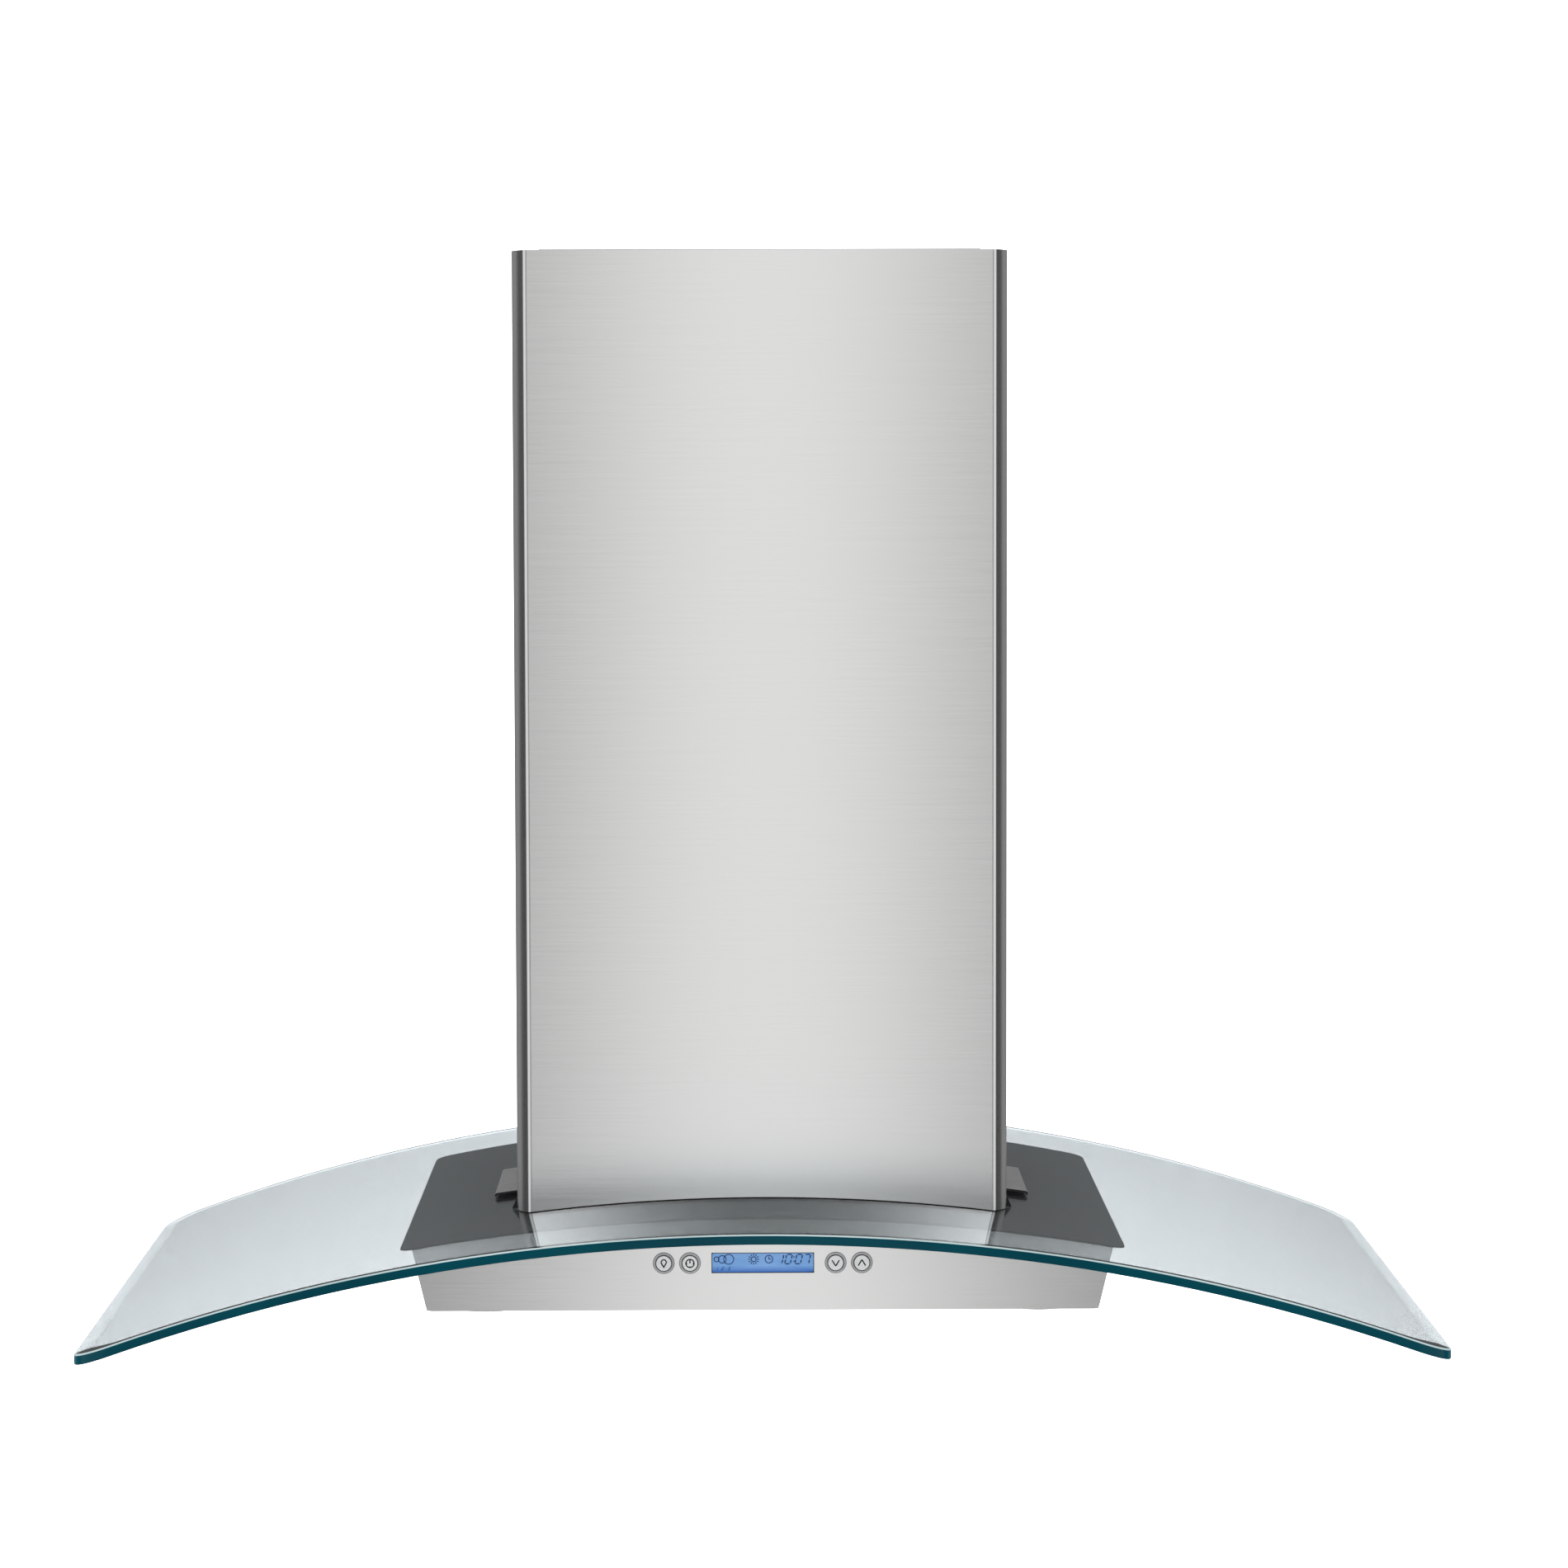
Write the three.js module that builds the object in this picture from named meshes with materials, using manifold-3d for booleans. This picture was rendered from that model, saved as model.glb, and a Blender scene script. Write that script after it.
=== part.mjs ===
// Island range hood: a telescopic steel chimney hung from the ceiling, a curved glass canopy, and under it a
// shallow steel body with the controls, lamps, grease filters and blower.
// Millimetres. +X right, +Y back, +Z up. The origin is the centre of the ceiling bracket's top face.
// The hood group's own origin is the crown of the glass's top surface, straight below.

import * as THREE from "three";
import { mergeVertices } from "three/addons/utils/BufferGeometryUtils.js";
import Module from "manifold-3d";

const wasm = await Module();
wasm.setup();

// ---------------------------------------------------------------- sizes

const GAP = 0.3; // between pieces that touch
const SHEET = 1.2; // stainless steel sheet
const CUT = 1; // how far a cutting solid runs past what it cuts

// Glass canopy, bent to a cylinder whose axis runs front to back
const GLASS_WIDTH = 1067;
const GLASS_DEPTH = 702; // over the crowns of the bowed front and rear edges
const GLASS_BOW = 17;
const GLASS_CORNER = 34;
const GLASS_THICKNESS = 8;
const GLASS_RADIUS = 1498; // of the top surface
const ARCH_STEP = 26; // width of one facet of the bend

// Chimney: flat front and rear faces, curved cheeks, flat sides
const CHIMNEY_WIDTH = 394.6;
const CHIMNEY_DEPTH = 341;
const CHIMNEY_RISE = 755; // from the glass's crown to the chimney's top edge
const CEILING_GAP = 1; // from the chimney's top edge to the ceiling
const FACE_WIDTH = 372;
const CHEEK_DEPTH = 33;
const CHIMNEY_SEAT = 0.6; // from the glass to the chimney's bottom edge
const SEAM_LAP = 15;
const TELESCOPE_GAP = 3.5;
const UPPER_CHIMNEY_LENGTH = 400;

// Ceiling bracket and posts
const BRACKET_WIDTH = 350;
const BRACKET_DEPTH = 310;
const BRACKET_SHEET = 3;
const BRACKET_FLANGE = 25;
const BRACKET_SLOT = 8; // width of the slots for the ceiling screws
const BRACKET_SLOT_LENGTH = 24;
const POST_LEG = 25;
const POST_SHEET = 2;
const UPPER_POST_LENGTH = 396;
const LOWER_POST_HEADROOM = 12; // from the lower posts' tops to the ceiling bracket

// Canopy top: a curved plate under the glass, with a neck that comes up through the glass
const PLATE_WIDTH = 568;
const PLATE_DEPTH = 524;
const PLATE_BOW = 15;
const PLATE_CORNER = 15;
const PLATE_SHEET = 1.5;
const NECK_WIDTH = 312;
const NECK_DEPTH = 282;
const NECK_SHEET = 2;
const NECK_RISE = 6; // above the crown
const NECK_DROP = 27; // below the crown
const GASKET_WIDTH = 8;
const CUTOUT_CORNER = 15;

// Clamps that hold the glass down, and the rubber under the chimney's sides
const CLAMP_LENGTH = 130;
const CLAMP_REACH = 22; // past the chimney's side
const CLAMP_LIFT = 2.4; // from the glass to the clamp's underside
const CLAMP_SHEET = 1.6;
const CLAMP_LIP = 4; // width of the foot at its outer end
const SEAL_WIDTH = 5;
const SEAL_WEDGE = 3.6; // how far its end shows outside the chimney
const SEAL_HEIGHT = 8.5;

// Body
const BODY_WIDTH = 528; // at the bottom
const BODY_DEPTH = 494;
const BODY_DROP = 77; // from the glass's crown to the bottom
const BODY_FLARE = 0.238; // how much each side leans out per unit of height
const PANEL_CORNER = 4; // radius of the panels' bottom corners
const FILTER_SIDE_MARGIN = 14; // from the filters' opening to the body's sides
const FILTER_END_MARGIN = 81; // and to its front and rear
const FILTER_DIVIDER = 14;
const FILTER_RIM = 11; // height of the rim round the filters

// Controls
const CONTROL_DROP = 39.5; // from the crown to the centre line of the controls
const LCD_WIDTH = 80;
const LCD_HEIGHT = 15.6;
const LCD_THICKNESS = 2;
const LCD_RECESS = 0.4;
const LCD_MODULE_BORDER = 4;
const LCD_MODULE_THICKNESS = 5;
const BUTTON_INNER_X = 57.2;
const BUTTON_OUTER_X = 77.8;
const BUTTON_RADIUS = 6.4;
const BUTTON_PROUD = 1.9; // in front of the panel
const BUTTON_TRAVEL = 1.2;
const BUTTON_FLANGE = 1.2; // wider than the cap, so that it can't fall out
const BEZEL_CLEARANCE = 0.3;
const BEZEL_WALL = 1.5;
const BEZEL_PROUD = 0.9;
const BEZEL_PLATE = 2;
const BEZEL_BORDER = 3;
const BOARD_WIDTH = 196;
const BOARD_HEIGHT = 34;
const BOARD_THICKNESS = 1.6;

// Lamps
const LAMP_SIDE_INSET = 46; // from the lamp's centre to the body's side
const LAMP_END_INSET = 41; // and to its front or rear
const LAMP_RADIUS = 29;
const LAMP_DEPTH = 32;
const LAMP_WALL = 1.5;
const LAMP_RIM = 4;
const LAMP_RIM_THICKNESS = 2;
const LENS_RADIUS = 24;
const LENS_THICKNESS = 3;

// Filters
const FILTER_CLEARANCE = 1.5;
const FILTER_THICKNESS = 9;
const FILTER_BORDER = 16;
const FILTER_SHEET = 1;
const FILTER_PACK = 3; // thickness of its metal mesh, pressed solid
const LATCH_WIDTH = 34;
const LATCH_DEPTH = 10;
const LATCH_THICKNESS = 2.6;
const LATCH_STEM = 7;
const LATCH_TRAVEL = 5;

// Blower
const BOX_INSET = 18; // from the neck's outside to the box's, which leaves room for the posts
const BOX_RISE = 290; // top above the crown
const BOX_DROP = 30;
const AXLE_Y = -15;
const AXLE_Z = 95;
const SCROLL_WIDTH = 134;
const SCROLL_WALL = 2;
const SCROLL_START = 82; // radius at the tongue
const SCROLL_END = 112; // radius at the outlet
const TONGUE_ANGLE = (75 * Math.PI) / 180;
const OUTLET_FRONT = -45;
const OUTLET_BACK = 60;
const INLET_RADIUS = 64;
const WHEEL_RADIUS = 75;
const WHEEL_WIDTH = 118;
const WHEEL_RING = 2;
const BLADE_COUNT = 30;
const BLADE_DEPTH = 13;
const BLADE_THICKNESS = 1.2;
const HUB_RADIUS = 11;
const HUB_LENGTH = 24;
const SHAFT_RADIUS = 4;
const MOTOR_RADIUS = 38;
const MOTOR_LENGTH = 84;
const MOTOR_TO_HUB = 2;
const SPIDER_WIDTH = 12;
const SPIDER_THICKNESS = 2.5;
const CAPACITOR_RADIUS = 14;
const CAPACITOR_LENGTH = 52;

// Duct collar with its two damper flaps
const COLLAR_RADIUS = 100;
const COLLAR_RISE = 52;
const COLLAR_FLANGE = 10;
const FLAP_RISE = 24; // above the collar's flange
const FLAP_THICKNESS = 1;
const FLAP_CLEARANCE = 3;
const FLAP_BARREL = 2; // radius of its hinge
const DAMPER_BAR = 4;

// Junction box, on the blower box's right side
const JUNCTION_WIDTH = 34;
const JUNCTION_DEPTH = 96;
const JUNCTION_HEIGHT = 64;
const JUNCTION_BASE = 150; // above the crown

// ---------------------------------------------------------------- places that follow from the sizes

const CROWN_DROP = CHIMNEY_RISE + CEILING_GAP; // from the ceiling to the glass's crown
const PLATE_TOP = -GLASS_THICKNESS - GAP; // offsets from the glass's top surface
const PLATE_UNDER = PLATE_TOP - PLATE_SHEET;
const FRONT = -BODY_DEPTH / 2; // outer face of the control panel
const PANEL_BACK = FRONT + SHEET;
const PAN_TOP = -BODY_DROP + SHEET;
const BOX_WIDTH = NECK_WIDTH - 2 * BOX_INSET;
const BOX_DEPTH = NECK_DEPTH - 2 * BOX_INSET;
const BOX_TOP_UNDER = BOX_RISE - SHEET;
const COLLAR_BASE = BOX_RISE + GAP;
const BEZEL_INNER = BUTTON_RADIUS + BEZEL_CLEARANCE;
const BEZEL_OUTER = BEZEL_INNER + BEZEL_WALL;
const BEZEL_BACK = PANEL_BACK + GAP + BEZEL_PLATE;
const BUTTON_BACK = BEZEL_BACK + GAP + BEZEL_PLATE;
const BOARD_FRONT = BUTTON_BACK + BUTTON_TRAVEL + GAP;
const FILTER_OPENING_WIDTH = BODY_WIDTH - 2 * FILTER_SIDE_MARGIN;
const FILTER_OPENING_DEPTH = BODY_DEPTH - 2 * FILTER_END_MARGIN;
const LAMP_X = BODY_WIDTH / 2 - LAMP_SIDE_INSET;
const LAMP_Y = BODY_DEPTH / 2 - LAMP_END_INSET;
const FILTER_WIDTH = (FILTER_OPENING_WIDTH - FILTER_DIVIDER) / 2 - 2 * FILTER_CLEARANCE;
const FILTER_DEPTH = FILTER_OPENING_DEPTH - 2 * FILTER_CLEARANCE;
const FILTER_X = (FILTER_OPENING_WIDTH + FILTER_DIVIDER) / 4;

// ---------------------------------------------------------------- solids

function solidOf(geometry) {
  const loose = geometry.index ? geometry.toNonIndexed() : geometry;
  const bare = new THREE.BufferGeometry().setAttribute("position", loose.getAttribute("position"));
  const merged = mergeVertices(bare, 1e-4);
  const vertProperties = merged.attributes.position.array;
  const triVerts = new Uint32Array(merged.index.array);
  return new wasm.Manifold(new wasm.Mesh({ numProp: 3, vertProperties, triVerts }));
}

function geometryOf(solid) {
  const { vertProperties, triVerts } = solid.getMesh();
  const geometry = new THREE.BufferGeometry();
  geometry.setAttribute("position", new THREE.BufferAttribute(vertProperties, 3));
  geometry.setIndex(new THREE.BufferAttribute(triVerts, 1));
  geometry.computeVertexNormals();
  return geometry;
}

const union = (solids) => solids.reduce((sum, solid) => sum.add(solid));

function block(x0, x1, y0, y1, z0, z1) {
  const box = new THREE.BoxGeometry(x1 - x0, y1 - y0, z1 - z0);
  return solidOf(box.translate((x0 + x1) / 2, (y0 + y1) / 2, (z0 + z1) / 2));
}

function extrude(shape, depth, curveSegments) {
  return new THREE.ExtrudeGeometry(shape, { depth, bevelEnabled: false, curveSegments });
}

// A plan outline, in X and Y, raised from z0 to z1
function upright(shape, z0, z1, curveSegments = 6) {
  return solidOf(extrude(shape, z1 - z0, curveSegments).translate(0, 0, z0));
}

// A profile in X and Z, carried along Y from y0 to y1
function lengthways(shape, y0, y1, curveSegments = 6) {
  return solidOf(extrude(shape, y1 - y0, curveSegments).rotateX(Math.PI / 2).translate(0, y1, 0));
}

// A profile in Y and Z, carried along X from x0 to x1
function sideways(shape, x0, x1) {
  const turn = new THREE.Matrix4().makeBasis(
    new THREE.Vector3(0, 1, 0),
    new THREE.Vector3(0, 0, 1),
    new THREE.Vector3(1, 0, 0),
  );
  return solidOf(extrude(shape, x1 - x0, 6).applyMatrix4(turn).translate(x0, 0, 0));
}

// A cylinder about Z at x, y
function disc(radius, z0, z1, { x = 0, y = 0, sides = 24 } = {}) {
  const cylinder = new THREE.CylinderGeometry(radius, radius, z1 - z0, sides);
  return solidOf(cylinder.rotateX(Math.PI / 2).translate(x, y, (z0 + z1) / 2));
}

// A cylinder about Y at x, z
function plug(radius, y0, y1, { x = 0, z = 0, sides = 24 } = {}) {
  const cylinder = new THREE.CylinderGeometry(radius, radius, y1 - y0, sides);
  return solidOf(cylinder.translate(x, (y0 + y1) / 2, z));
}

// A cylinder about X at y, z
function axle(radius, x0, x1, { y = 0, z = 0, sides = 24 } = {}) {
  const cylinder = new THREE.CylinderGeometry(radius, radius, x1 - x0, sides);
  return solidOf(cylinder.rotateZ(Math.PI / 2).translate((x0 + x1) / 2, y, z));
}

// A rectangle in plan, centred, with rounded corners
function roundedRectangle(width, depth, corner) {
  const x = width / 2 - corner;
  const y = depth / 2 - corner;
  const quarter = Math.PI / 2;
  const outline = new THREE.Shape();
  outline.absarc(x, -y, corner, -quarter, 0, false);
  outline.absarc(x, y, corner, 0, quarter, false);
  outline.absarc(-x, y, corner, quarter, 2 * quarter, false);
  outline.absarc(-x, -y, corner, 2 * quarter, 3 * quarter, false);
  return outline;
}

// A plan outline whose front and rear edges are arcs that bow outwards. depth is over their crowns.
function bowedOutline(width, depth, bow, corner) {
  const edgeRadius = ((width / 2) ** 2 + bow ** 2) / (2 * bow);
  const edgeCentre = edgeRadius - depth / 2;
  const x = width / 2 - corner;
  const y = Math.sqrt((edgeRadius - corner) ** 2 - x ** 2) - edgeCentre;
  const turn = Math.atan2(x, y + edgeCentre);
  const quarter = Math.PI / 2;
  const outline = new THREE.Shape();
  outline.absarc(0, edgeCentre, edgeRadius, -quarter - turn, -quarter + turn, false);
  outline.absarc(x, -y, corner, -quarter + turn, 0, false);
  outline.absarc(x, y, corner, 0, quarter - turn, false);
  outline.absarc(0, -edgeCentre, edgeRadius, quarter - turn, quarter + turn, false);
  outline.absarc(-x, y, corner, quarter + turn, 2 * quarter, false);
  outline.absarc(-x, -y, corner, 2 * quarter, 3 * quarter - turn, false);
  return outline;
}

// Height of the surface that lies offset outside the glass's top surface, at x
function archHeight(x, offset) {
  return Math.sqrt((GLASS_RADIUS + offset) ** 2 - x ** 2) - GLASS_RADIUS;
}

// Everything below that surface, down to floor
function underArch(offset, width, y0, y1, floor) {
  const radius = GLASS_RADIUS + offset;
  const half = Math.asin(width / 2 / radius);
  const profile = new THREE.Shape();
  profile.absarc(0, -GLASS_RADIUS, radius, Math.PI / 2 - half, Math.PI / 2 + half, false);
  profile.lineTo(-width / 2, floor);
  profile.lineTo(width / 2, floor);
  return lengthways(profile, y0, y1, Math.ceil(width / ARCH_STEP));
}

// The curved slab between two offsets from the glass's top surface
function archSlab(top, under, width, depth) {
  const floor = archHeight(width / 2, under) - CUT;
  const y = depth / 2;
  return underArch(top, width, -y, y, floor).subtract(
    underArch(under, width + 2 * CUT, -y - CUT, y + CUT, floor - CUT),
  );
}

// ---------------------------------------------------------------- the scene's pieces

const finish = (color, roughness, metalness) =>
  new THREE.MeshStandardMaterial({ color, roughness, metalness });
const brushedSteel = finish(0xc4c4c2, 0.32, 1);
const darkSteel = finish(0x545353, 0.55, 0.3);
const galvanised = finish(0x9aa0a3, 0.45, 0.9);
const aluminium = finish(0xc9cccd, 0.38, 1);
const rubber = finish(0x141414, 0.8, 0);
const blackPlastic = finish(0x1b1b1c, 0.5, 0);
const circuitGreen = finish(0x1d5a37, 0.55, 0);
const canopyGlass = new THREE.MeshStandardMaterial({
  color: 0x9fb9b8,
  roughness: 0.04,
  transparent: true,
  opacity: 0.4,
});
const lampGlass = finish(0xe8ecec, 0.25, 0);
const lcdBlue = finish(0x6d9ad2, 0.25, 0);

const part = new THREE.Group();
const ceiling = new THREE.Group();
const hood = new THREE.Group();
hood.position.z = -CROWN_DROP;
part.add(ceiling, hood);

function add(group, name, solid, material) {
  const mesh = new THREE.Mesh(geometryOf(solid), material);
  mesh.name = name;
  group.add(mesh);
  return mesh;
}

const SIDES = [
  ["left", -1],
  ["right", 1],
];
const ENDS = [
  ["front", -1],
  ["rear", 1],
];

// ---------------------------------------------------------------- chimney

// The chimney's plan outline, moved inwards by inset: flat faces, an arc at each cheek, flat sides
function chimneyOutline(inset) {
  const step = (CHIMNEY_WIDTH - FACE_WIDTH) / 2;
  const cheekRadius = (CHEEK_DEPTH ** 2 + step ** 2) / (2 * step);
  const radius = cheekRadius - inset;
  const x = CHIMNEY_WIDTH / 2 - cheekRadius;
  const y = CHIMNEY_DEPTH / 2 - CHEEK_DEPTH;
  const turn = Math.asin((CHEEK_DEPTH - inset) / radius);
  const outline = new THREE.Shape();
  outline.absarc(x, -y, radius, -turn, 0, false);
  outline.absarc(x, y, radius, 0, turn, false);
  outline.absarc(-x, y, radius, Math.PI - turn, Math.PI, false);
  outline.absarc(-x, -y, radius, Math.PI, Math.PI + turn, false);
  return outline;
}

// One half of a chimney tube whose outer face is inset from the lower chimney's
function chimneyHalf(end, inset, z0, z1) {
  const tube = upright(chimneyOutline(inset), z0, z1).subtract(
    upright(chimneyOutline(inset + SHEET), z0 - CUT, z1 + CUT),
  );
  const x = CHIMNEY_WIDTH;
  const [y0, y1] = end < 0 ? [-CHIMNEY_DEPTH, -GAP / 2] : [GAP / 2, CHIMNEY_DEPTH];
  const half = tube.intersect(block(-x, x, y0, y1, z0 - CUT, z1 + CUT));
  return end < 0 ? half : union([half, ...SIDES.map(([, side]) => seamLap(side, inset, z0, z1))]);
}

// The rear half's joggled edge, which lies inside the front half's edge
function seamLap(side, inset, z0, z1) {
  const wall = CHIMNEY_WIDTH / 2 - inset - SHEET; // the tube's inner face
  const inner = wall - GAP - SHEET;
  const lap = block(inner, inner + SHEET, -SEAM_LAP, SEAM_LAP, z0, z1);
  const joggle = block(inner, wall + SHEET / 2, GAP / 2 + SHEET, SEAM_LAP, z0, z1);
  const strip = lap.add(joggle);
  return side > 0 ? strip : strip.mirror([1, 0, 0]);
}

function buildLowerChimney() {
  const lowest = archHeight(CHIMNEY_WIDTH / 2, 0) - CUT;
  const depth = CHIMNEY_DEPTH / 2 + CUT;
  const seat = underArch(CHIMNEY_SEAT, CHIMNEY_WIDTH + 2 * CUT, -depth, depth, lowest - CUT);
  const clampTop = CLAMP_LIFT + CLAMP_SHEET + GAP;
  const notchY = CLAMP_LENGTH / 2 + GAP;
  const notch = underArch(clampTop, CHIMNEY_WIDTH + 2 * CUT, -notchY, notchY, lowest - CUT);
  for (const [name, end] of ENDS) {
    const half = chimneyHalf(end, 0, lowest, CHIMNEY_RISE).subtract(seat).subtract(notch);
    add(hood, `lower_chimney_${name}`, half, brushedSteel);
  }
}

function buildUpperChimney() {
  const inset = SHEET + TELESCOPE_GAP;
  const top = -CEILING_GAP;
  for (const [name, end] of ENDS) {
    const half = chimneyHalf(end, inset, top - UPPER_CHIMNEY_LENGTH, top);
    add(ceiling, `upper_chimney_${name}`, half, brushedSteel);
  }
}

// ---------------------------------------------------------------- ceiling bracket and posts

const NECK_INNER_X = NECK_WIDTH / 2 - NECK_SHEET;
const NECK_INNER_Y = NECK_DEPTH / 2 - NECK_SHEET;
const LOWER_POST_X = NECK_INNER_X - GAP; // outer corner of a lower post
const LOWER_POST_Y = NECK_INNER_Y - GAP;
const UPPER_POST_X = LOWER_POST_X - POST_SHEET - GAP;
const UPPER_POST_Y = LOWER_POST_Y - POST_SHEET - GAP;

function buildCeilingBracket() {
  const x = BRACKET_WIDTH / 2;
  const y = BRACKET_DEPTH / 2;
  const openX = UPPER_POST_X - POST_LEG;
  const openY = UPPER_POST_Y - POST_LEG;
  let bracket = block(-x, x, -y, y, -BRACKET_SHEET, 0).subtract(
    block(-openX, openX, -openY, openY, -BRACKET_SHEET - CUT, CUT),
  );
  for (const [, side] of SIDES) {
    const flange = block(x - BRACKET_SHEET, x, -openY, openY, -BRACKET_FLANGE, -BRACKET_SHEET / 2);
    bracket = bracket.add(side > 0 ? flange : flange.mirror([1, 0, 0]));
    for (const [, end] of ENDS) {
      const slot = roundedRectangle(BRACKET_SLOT, BRACKET_SLOT_LENGTH, BRACKET_SLOT / 2 - GAP);
      const slotX = (side * (x + openX)) / 2;
      const slotY = (end * (y + openY)) / 4;
      const hole = upright(slot, -BRACKET_SHEET - CUT, CUT, 3).translate([slotX, slotY, 0]);
      bracket = bracket.subtract(hole);
    }
  }
  add(ceiling, "ceiling_bracket", bracket, galvanised);
}

// An angle post whose outer corner is at the origin and whose legs run towards -X and -Y
function angle(leg, z0, z1) {
  const solid = block(-leg, 0, -leg, 0, z0, z1);
  return solid.subtract(block(-leg - CUT, -POST_SHEET, -leg - CUT, -POST_SHEET, z0 - CUT, z1 + CUT));
}

function buildPosts(group, prefix, x, y, solid) {
  for (const [endName, end] of ENDS) {
    for (const [sideName, side] of SIDES) {
      const mirrored = solid.scale([side, end, 1]);
      const post = add(group, `${prefix}_${endName}_${sideName}`, mirrored, galvanised);
      post.position.set(side * x, end * y, 0);
    }
  }
}

function buildUpperPosts() {
  const top = -BRACKET_SHEET - GAP;
  const leg = POST_LEG - POST_SHEET - GAP;
  buildPosts(ceiling, "upper_post", UPPER_POST_X, UPPER_POST_Y, angle(leg, top - UPPER_POST_LENGTH, top));
}

function buildLowerPosts() {
  const top = CROWN_DROP - BRACKET_SHEET - LOWER_POST_HEADROOM;
  const foot = -NECK_DROP;
  buildPosts(hood, "lower_post", LOWER_POST_X, LOWER_POST_Y, angle(POST_LEG, foot, top));
}

// ---------------------------------------------------------------- glass and what holds it

const CUTOUT_WIDTH = NECK_WIDTH + 2 * (GASKET_WIDTH + 2 * GAP);
const CUTOUT_DEPTH = NECK_DEPTH + 2 * (GASKET_WIDTH + 2 * GAP);

function buildGlass() {
  const tall = GLASS_RADIUS;
  const outline = bowedOutline(GLASS_WIDTH, GLASS_DEPTH, GLASS_BOW, GLASS_CORNER);
  const cutout = roundedRectangle(CUTOUT_WIDTH, CUTOUT_DEPTH, CUTOUT_CORNER);
  const glass = archSlab(0, -GLASS_THICKNESS, GLASS_WIDTH + 2 * CUT, GLASS_DEPTH + 2 * CUT)
    .intersect(upright(outline, -tall, CUT, 10))
    .subtract(upright(cutout, -tall - CUT, 2 * CUT, 3));
  add(hood, "glass_canopy", glass, canopyGlass);
}

function buildCanopyTop() {
  const tall = GLASS_RADIUS;
  const outline = bowedOutline(PLATE_WIDTH, PLATE_DEPTH, PLATE_BOW, PLATE_CORNER);
  const plate = archSlab(PLATE_TOP, PLATE_UNDER, PLATE_WIDTH + 2 * CUT, PLATE_DEPTH + 2 * CUT).intersect(
    upright(outline, -tall, CUT, 8),
  );
  const x = NECK_WIDTH / 2;
  const y = NECK_DEPTH / 2;
  const neck = block(-x, x, -y, y, -NECK_DROP, NECK_RISE);
  const bore = block(-NECK_INNER_X, NECK_INNER_X, -NECK_INNER_Y, NECK_INNER_Y, -tall, tall);
  add(hood, "canopy_top", plate.add(neck).subtract(bore), darkSteel);
}

function buildGasket() {
  const width = NECK_WIDTH + 2 * GAP;
  const depth = NECK_DEPTH + 2 * GAP;
  const outline = roundedRectangle(width + 2 * GASKET_WIDTH, depth + 2 * GASKET_WIDTH, CUTOUT_CORNER);
  const slab = archSlab(0, -GLASS_THICKNESS, CUTOUT_WIDTH, CUTOUT_DEPTH);
  const ring = slab
    .intersect(upright(outline, -GLASS_RADIUS, CUT, 3))
    .subtract(block(-width / 2, width / 2, -depth / 2, depth / 2, -GLASS_RADIUS, CUT));
  add(hood, "glass_gasket", ring, rubber);
}

// A clamp: a leaf over the glass, a foot on it at the outer end, and a leg against the neck
function buildGlassClamps() {
  const y = CLAMP_LENGTH / 2;
  const outer = CHIMNEY_WIDTH / 2 + CLAMP_REACH;
  const inner = NECK_WIDTH / 2 + GAP;
  const floor = archHeight(outer, 0) - CUT;
  const under = underArch(CLAMP_LIFT, 2 * outer + 2 * CUT, -y - CUT, y + CUT, floor - CUT);
  const arch = underArch(CLAMP_LIFT + CLAMP_SHEET, 2 * outer, -y, y, floor);
  const leaf = arch.subtract(under).intersect(block(inner, outer + CUT, -y, y, floor, GLASS_RADIUS));
  const foot = underArch(CLAMP_LIFT + CLAMP_SHEET / 2, 2 * outer, -y, y, floor)
    .subtract(underArch(GAP, 2 * outer + 2 * CUT, -y - CUT, y + CUT, floor - CUT))
    .intersect(block(outer - CLAMP_LIP, outer + CUT, -y, y, floor, GLASS_RADIUS));
  const legFoot = archHeight(inner + CLAMP_SHEET, CLAMP_LIFT + CLAMP_SHEET / 2);
  const leg = block(inner, inner + CLAMP_SHEET, -y, y, legFoot, NECK_RISE);
  const clamp = union([leaf, foot, leg]);
  for (const [name, side] of SIDES) {
    add(hood, `glass_clamp_${name}`, side > 0 ? clamp : clamp.mirror([1, 0, 0]), darkSteel);
  }
}

// A rubber strip inside each side wall, whose two ends show outside as wedges against the cheeks
function buildBaseSeals() {
  const wall = CHIMNEY_WIDTH / 2 - SHEET - GAP; // the wall's inner face
  const lapRoom = 2 * GAP + SHEET; // for the rear half's joggled edge
  const y = CHIMNEY_DEPTH / 2 - CHEEK_DEPTH;
  const floor = archHeight(CHIMNEY_WIDTH / 2 + SEAL_WEDGE, 0) - CUT;
  const bed = underArch(GAP, CHIMNEY_WIDTH + 4 * SEAL_WEDGE, -2 * y, 2 * y, floor - 2 * CUT);
  const strip = block(wall - lapRoom - SEAL_WIDTH, wall - lapRoom, -y, y, floor, floor + SEAL_HEIGHT);
  const clampRoom = CLAMP_LENGTH / 2 + GAP;
  const underClamp = underArch(CLAMP_LIFT - GAP, CHIMNEY_WIDTH, -y, y, floor - CUT);
  const notch = block(0, CHIMNEY_WIDTH, -clampRoom, clampRoom, floor, SEAL_HEIGHT).subtract(underClamp);
  const half = strip.subtract(bed).subtract(notch);
  const wedges = ENDS.map(([, end]) => sealWedge(end, y, floor).subtract(bed));
  const ties = ENDS.map(([, end]) => sealTie(end, y, floor).subtract(bed));
  const seal = union([half, ...wedges, ...ties]);
  for (const [name, side] of SIDES) {
    add(hood, `chimney_seal_${name}`, side > 0 ? seal : seal.mirror([1, 0, 0]), rubber);
  }
}

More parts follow.
